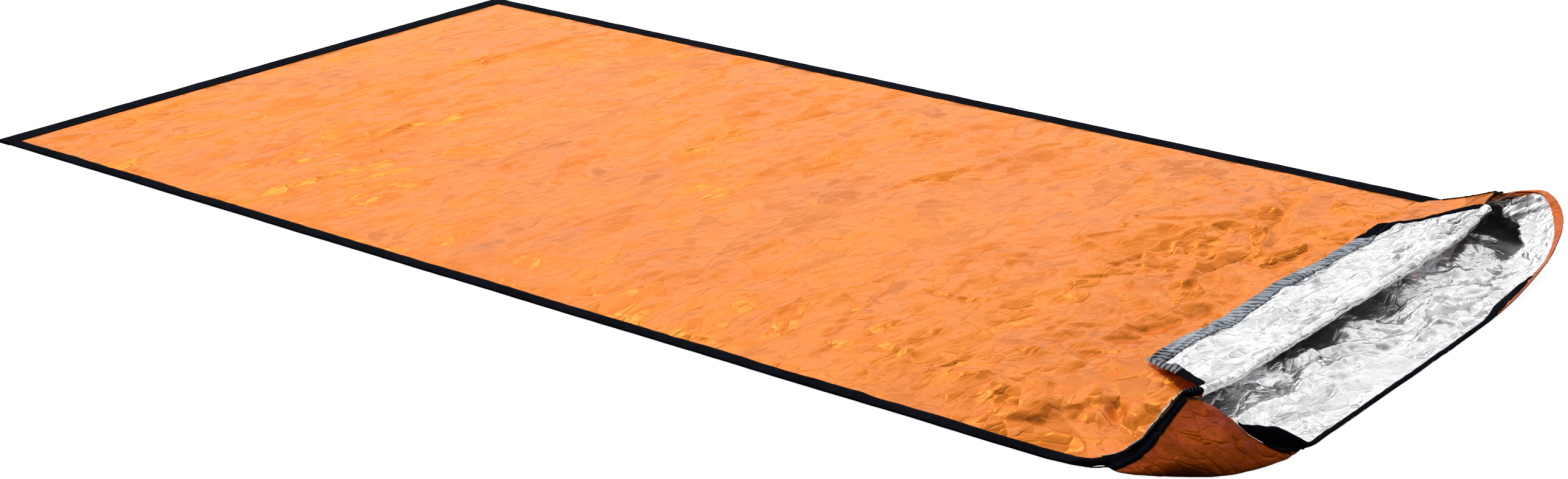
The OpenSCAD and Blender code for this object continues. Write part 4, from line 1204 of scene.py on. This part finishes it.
# ------------------------------------------------------------------- bartacks
def knot(name, centre, axis, node, seed, size):
    """The bunched end of a seam: the tape's end gathered and over-sewn."""
    rng = np.random.default_rng(seed)
    ax = unit(np.array(axis, float))
    side = unit(np.cross(ax, [0, 0, 1.0]))
    upv = np.cross(side, ax)
    n, k = 22, 20
    t = np.linspace(-1, 1, n)
    ang = np.linspace(0, 2 * math.pi, k + 1)[:-1]
    rad = np.sqrt(np.clip(1 - np.abs(t) ** 3, 0.02, 1))
    lobes = 1 + 0.30 * np.sin(2 * ang[None] + 1.0 + 1.3 * t[:, None]) + 0.14 * np.sin(5 * ang[None] + 6 * t[:, None]) + 0.08 * rng.random((n, k))
    R = rad[:, None] * lobes
    S = (np.array(centre, float) + t[:, None, None] * ax * size[0] + (R * np.cos(ang)[None])[..., None] * side * size[1]
         + (R * np.sin(ang)[None])[..., None] * upv * size[2])
    Vs, Fs = sweep(S)
    ob = make(name, Vs, Fs, TAPE)
    lift(ob)
    st = []
    for j in np.linspace(-0.7, 0.7, 6):
        a2 = np.linspace(0, 2 * math.pi, 25)
        st.append(np.array(centre, float) + ax * size[0] * j + np.cos(a2)[:, None] * side * (size[1] + 0.5) + np.sin(a2)[:, None] * upv * (size[2] + 0.5))
    verts, faces, base = [], [], 0
    for ring_ in st:
        T = unit(np.roll(ring_, -1, 0) - np.roll(ring_, 1, 0))
        B = np.broadcast_to(ax, T.shape)
        N = unit(np.cross(T, B))
        b = np.linspace(0, 2 * math.pi, 7)[:-1]
        sec = ring_[:, None] + 0.35 * (np.cos(b)[None, :, None] * N[:, None] + np.sin(b)[None, :, None] * B[:, None])
        m = len(ring_) - 1
        verts.append(sec[:-1].reshape(-1, 3))
        i, q = np.arange(m)[:, None], np.arange(6)[None]
        a0, a1 = base + i * 6 + q, base + i * 6 + (q + 1) % 6
        c0, c1 = base + ((i + 1) % m) * 6 + q, base + ((i + 1) % m) * 6 + (q + 1) % 6
        faces.append(np.stack([a0, a1, c1, c0], -1).reshape(-1, 4))
        base += m * 6
    th = make(name + "_thread", np.concatenate(verts), np.concatenate(faces), THREAD)
    lift(th)
    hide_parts(node)
    return ob, th


near_knot = knot("near_seam_end", (868, -350, 39), (0.75, 0.6, 0.25), "near_seam_bartack", 201, (14, 7, 4.6))
far_knot = knot("far_seam_end", (868, 453, 46.5), (0.6, 0.7, 0.0), "far_seam_bartack", 202, (5, 2.0, 1.4))

# ---------------------------------------------------------- bodies and sheets
for ob in (mouth_outer, mouth_lining, bottom_outer, bottom_lining):
    lift(ob)
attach(top_outer, "bag")
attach(top_lining, "bag")
for ob in (fold_film, fold_silver):
    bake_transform(ob)
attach(collar_film, "collar")
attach(collar_silver, "collar")
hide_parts("bottom_panel_outer")
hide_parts("bottom_panel_lining")
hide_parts("top_panel_outer")
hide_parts("top_panel_lining")
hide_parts("mouth_panel_outer")
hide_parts("mouth_panel_lining")
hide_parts("collar_outer")
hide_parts("collar_lining")


# ----------------------------------------------------------- floor and lights
def stage():
    me = bpy.data.meshes.new("floor")
    s = 14.0
    me.from_pydata([(-s, -s, -0.0005), (s, -s, -0.0005), (s, s, -0.0005), (-s, s, -0.0005)], [], [(0, 1, 2, 3)])
    ob = bpy.data.objects.new("floor", me)
    bpy.context.scene.collection.objects.link(ob)
    m = Nodes("floor_paper")
    m.b.inputs["Base Color"].default_value = (0.45, 0.45, 0.45, 1)
    m.b.inputs["Roughness"].default_value = 1.0
    m.b.inputs["Specular IOR Level"].default_value = 0.0
    m.b.inputs["Emission Color"].default_value = (1, 1, 1, 1)
    m.b.inputs["Emission Strength"].default_value = 0.90
    me.materials.append(m.mat)
    ob.visible_glossy = False
    ob.visible_diffuse = False


stage()


def area_light(name, direction, distance, size, power, target=(0, 0, 0)):
    light = bpy.data.lights.new(name, "AREA")
    light.shape = "RECTANGLE"
    light.size, light.size_y = size
    light.energy = power
    ob = bpy.data.objects.new(name, light)
    d = Vector(direction).normalized()
    ob.location = Vector(target) + d * distance
    ob.rotation_euler = (-d).to_track_quat("-Z", "Y").to_euler()
    bpy.context.scene.collection.objects.link(ob)
    return ob


key = area_light("key", (-0.50, 0.46, 0.68), 6.0, (1.4, 1.4), 580.0)
key.visible_glossy = False
glint = area_light("glint", (-0.52, 0.36, 0.76), 6.0, (1.6, 1.6), 30.0)
glint.visible_diffuse = False


def sky():
    w = bpy.data.worlds.new("studio")
    bpy.context.scene.world = w
    w.use_nodes = True
    t = w.node_tree
    bg = t.nodes["Background"]
    co = t.nodes.new("ShaderNodeTexCoord")
    sep = t.nodes.new("ShaderNodeSeparateXYZ")
    t.links.new(co.outputs["Generated"], sep.inputs[0])

    def m(op, a, b=None, c=None):
        n = t.nodes.new("ShaderNodeMath")
        n.operation = op
        for k, v in enumerate((a, b, c)):
            if v is None:
                continue
            if isinstance(v, (int, float)):
                n.inputs[k].default_value = v
            else:
                t.links.new(v, n.inputs[k])
        return n.outputs[0]

    # share of a direction that points away from the camera side
    away = m("ADD", m("MULTIPLY", sep.outputs["X"], -0.62), m("MULTIPLY", sep.outputs["Y"], 0.78))
    away = m("MULTIPLY_ADD", away, 0.5, 0.5)
    e = t.nodes.new("ShaderNodeValToRGB")
    t.links.new(sep.outputs["Z"], e.inputs["Fac"])
    for _ in range(3):
        e.color_ramp.elements.new(0.5)
    for el, (pos, v) in zip(e.color_ramp.elements, ((0.0, 0.12), (0.07, 0.70), (0.26, 1.22), (0.50, 0.95), (1.0, 0.62))):
        el.position, el.color = pos, (v, v, v, 1)
    a = t.nodes.new("ShaderNodeValToRGB")
    t.links.new(away, a.inputs["Fac"])
    for _ in range(2):
        a.color_ramp.elements.new(0.5)
    for el, (pos, v) in zip(a.color_ramp.elements, ((0.10, 0.05), (0.42, 0.42), (0.60, 0.80), (0.84, 1.0))):
        el.position, el.color = pos, (v, v, v, 1)
    bgs = m("MULTIPLY", e.outputs["Color"], a.outputs["Color"])
    t.links.new(bgs, bg.inputs["Strength"])
    bg.inputs["Color"].default_value = (1, 1, 1, 1)


sky()

# --------------------------------------------------------------------- camera
cam_data = bpy.data.cameras.new("camera")
cam_data.sensor_fit = "HORIZONTAL"
cam_data.sensor_width = 36.0
cam_data.lens = 60.06
cam_data.clip_start, cam_data.clip_end = 0.05, 100
cam = bpy.data.objects.new("camera", cam_data)
bpy.context.scene.collection.objects.link(cam)
cam.location = (2.11879, -2.66534, 1.14431)
cam.rotation_euler = (math.radians(90 - 19.725), 0, math.radians(37.964))
bpy.context.scene.camera = cam

scene = bpy.context.scene
scene.view_settings.view_transform = "Standard"
scene.view_settings.look = "None"
scene.cycles.use_denoising = True
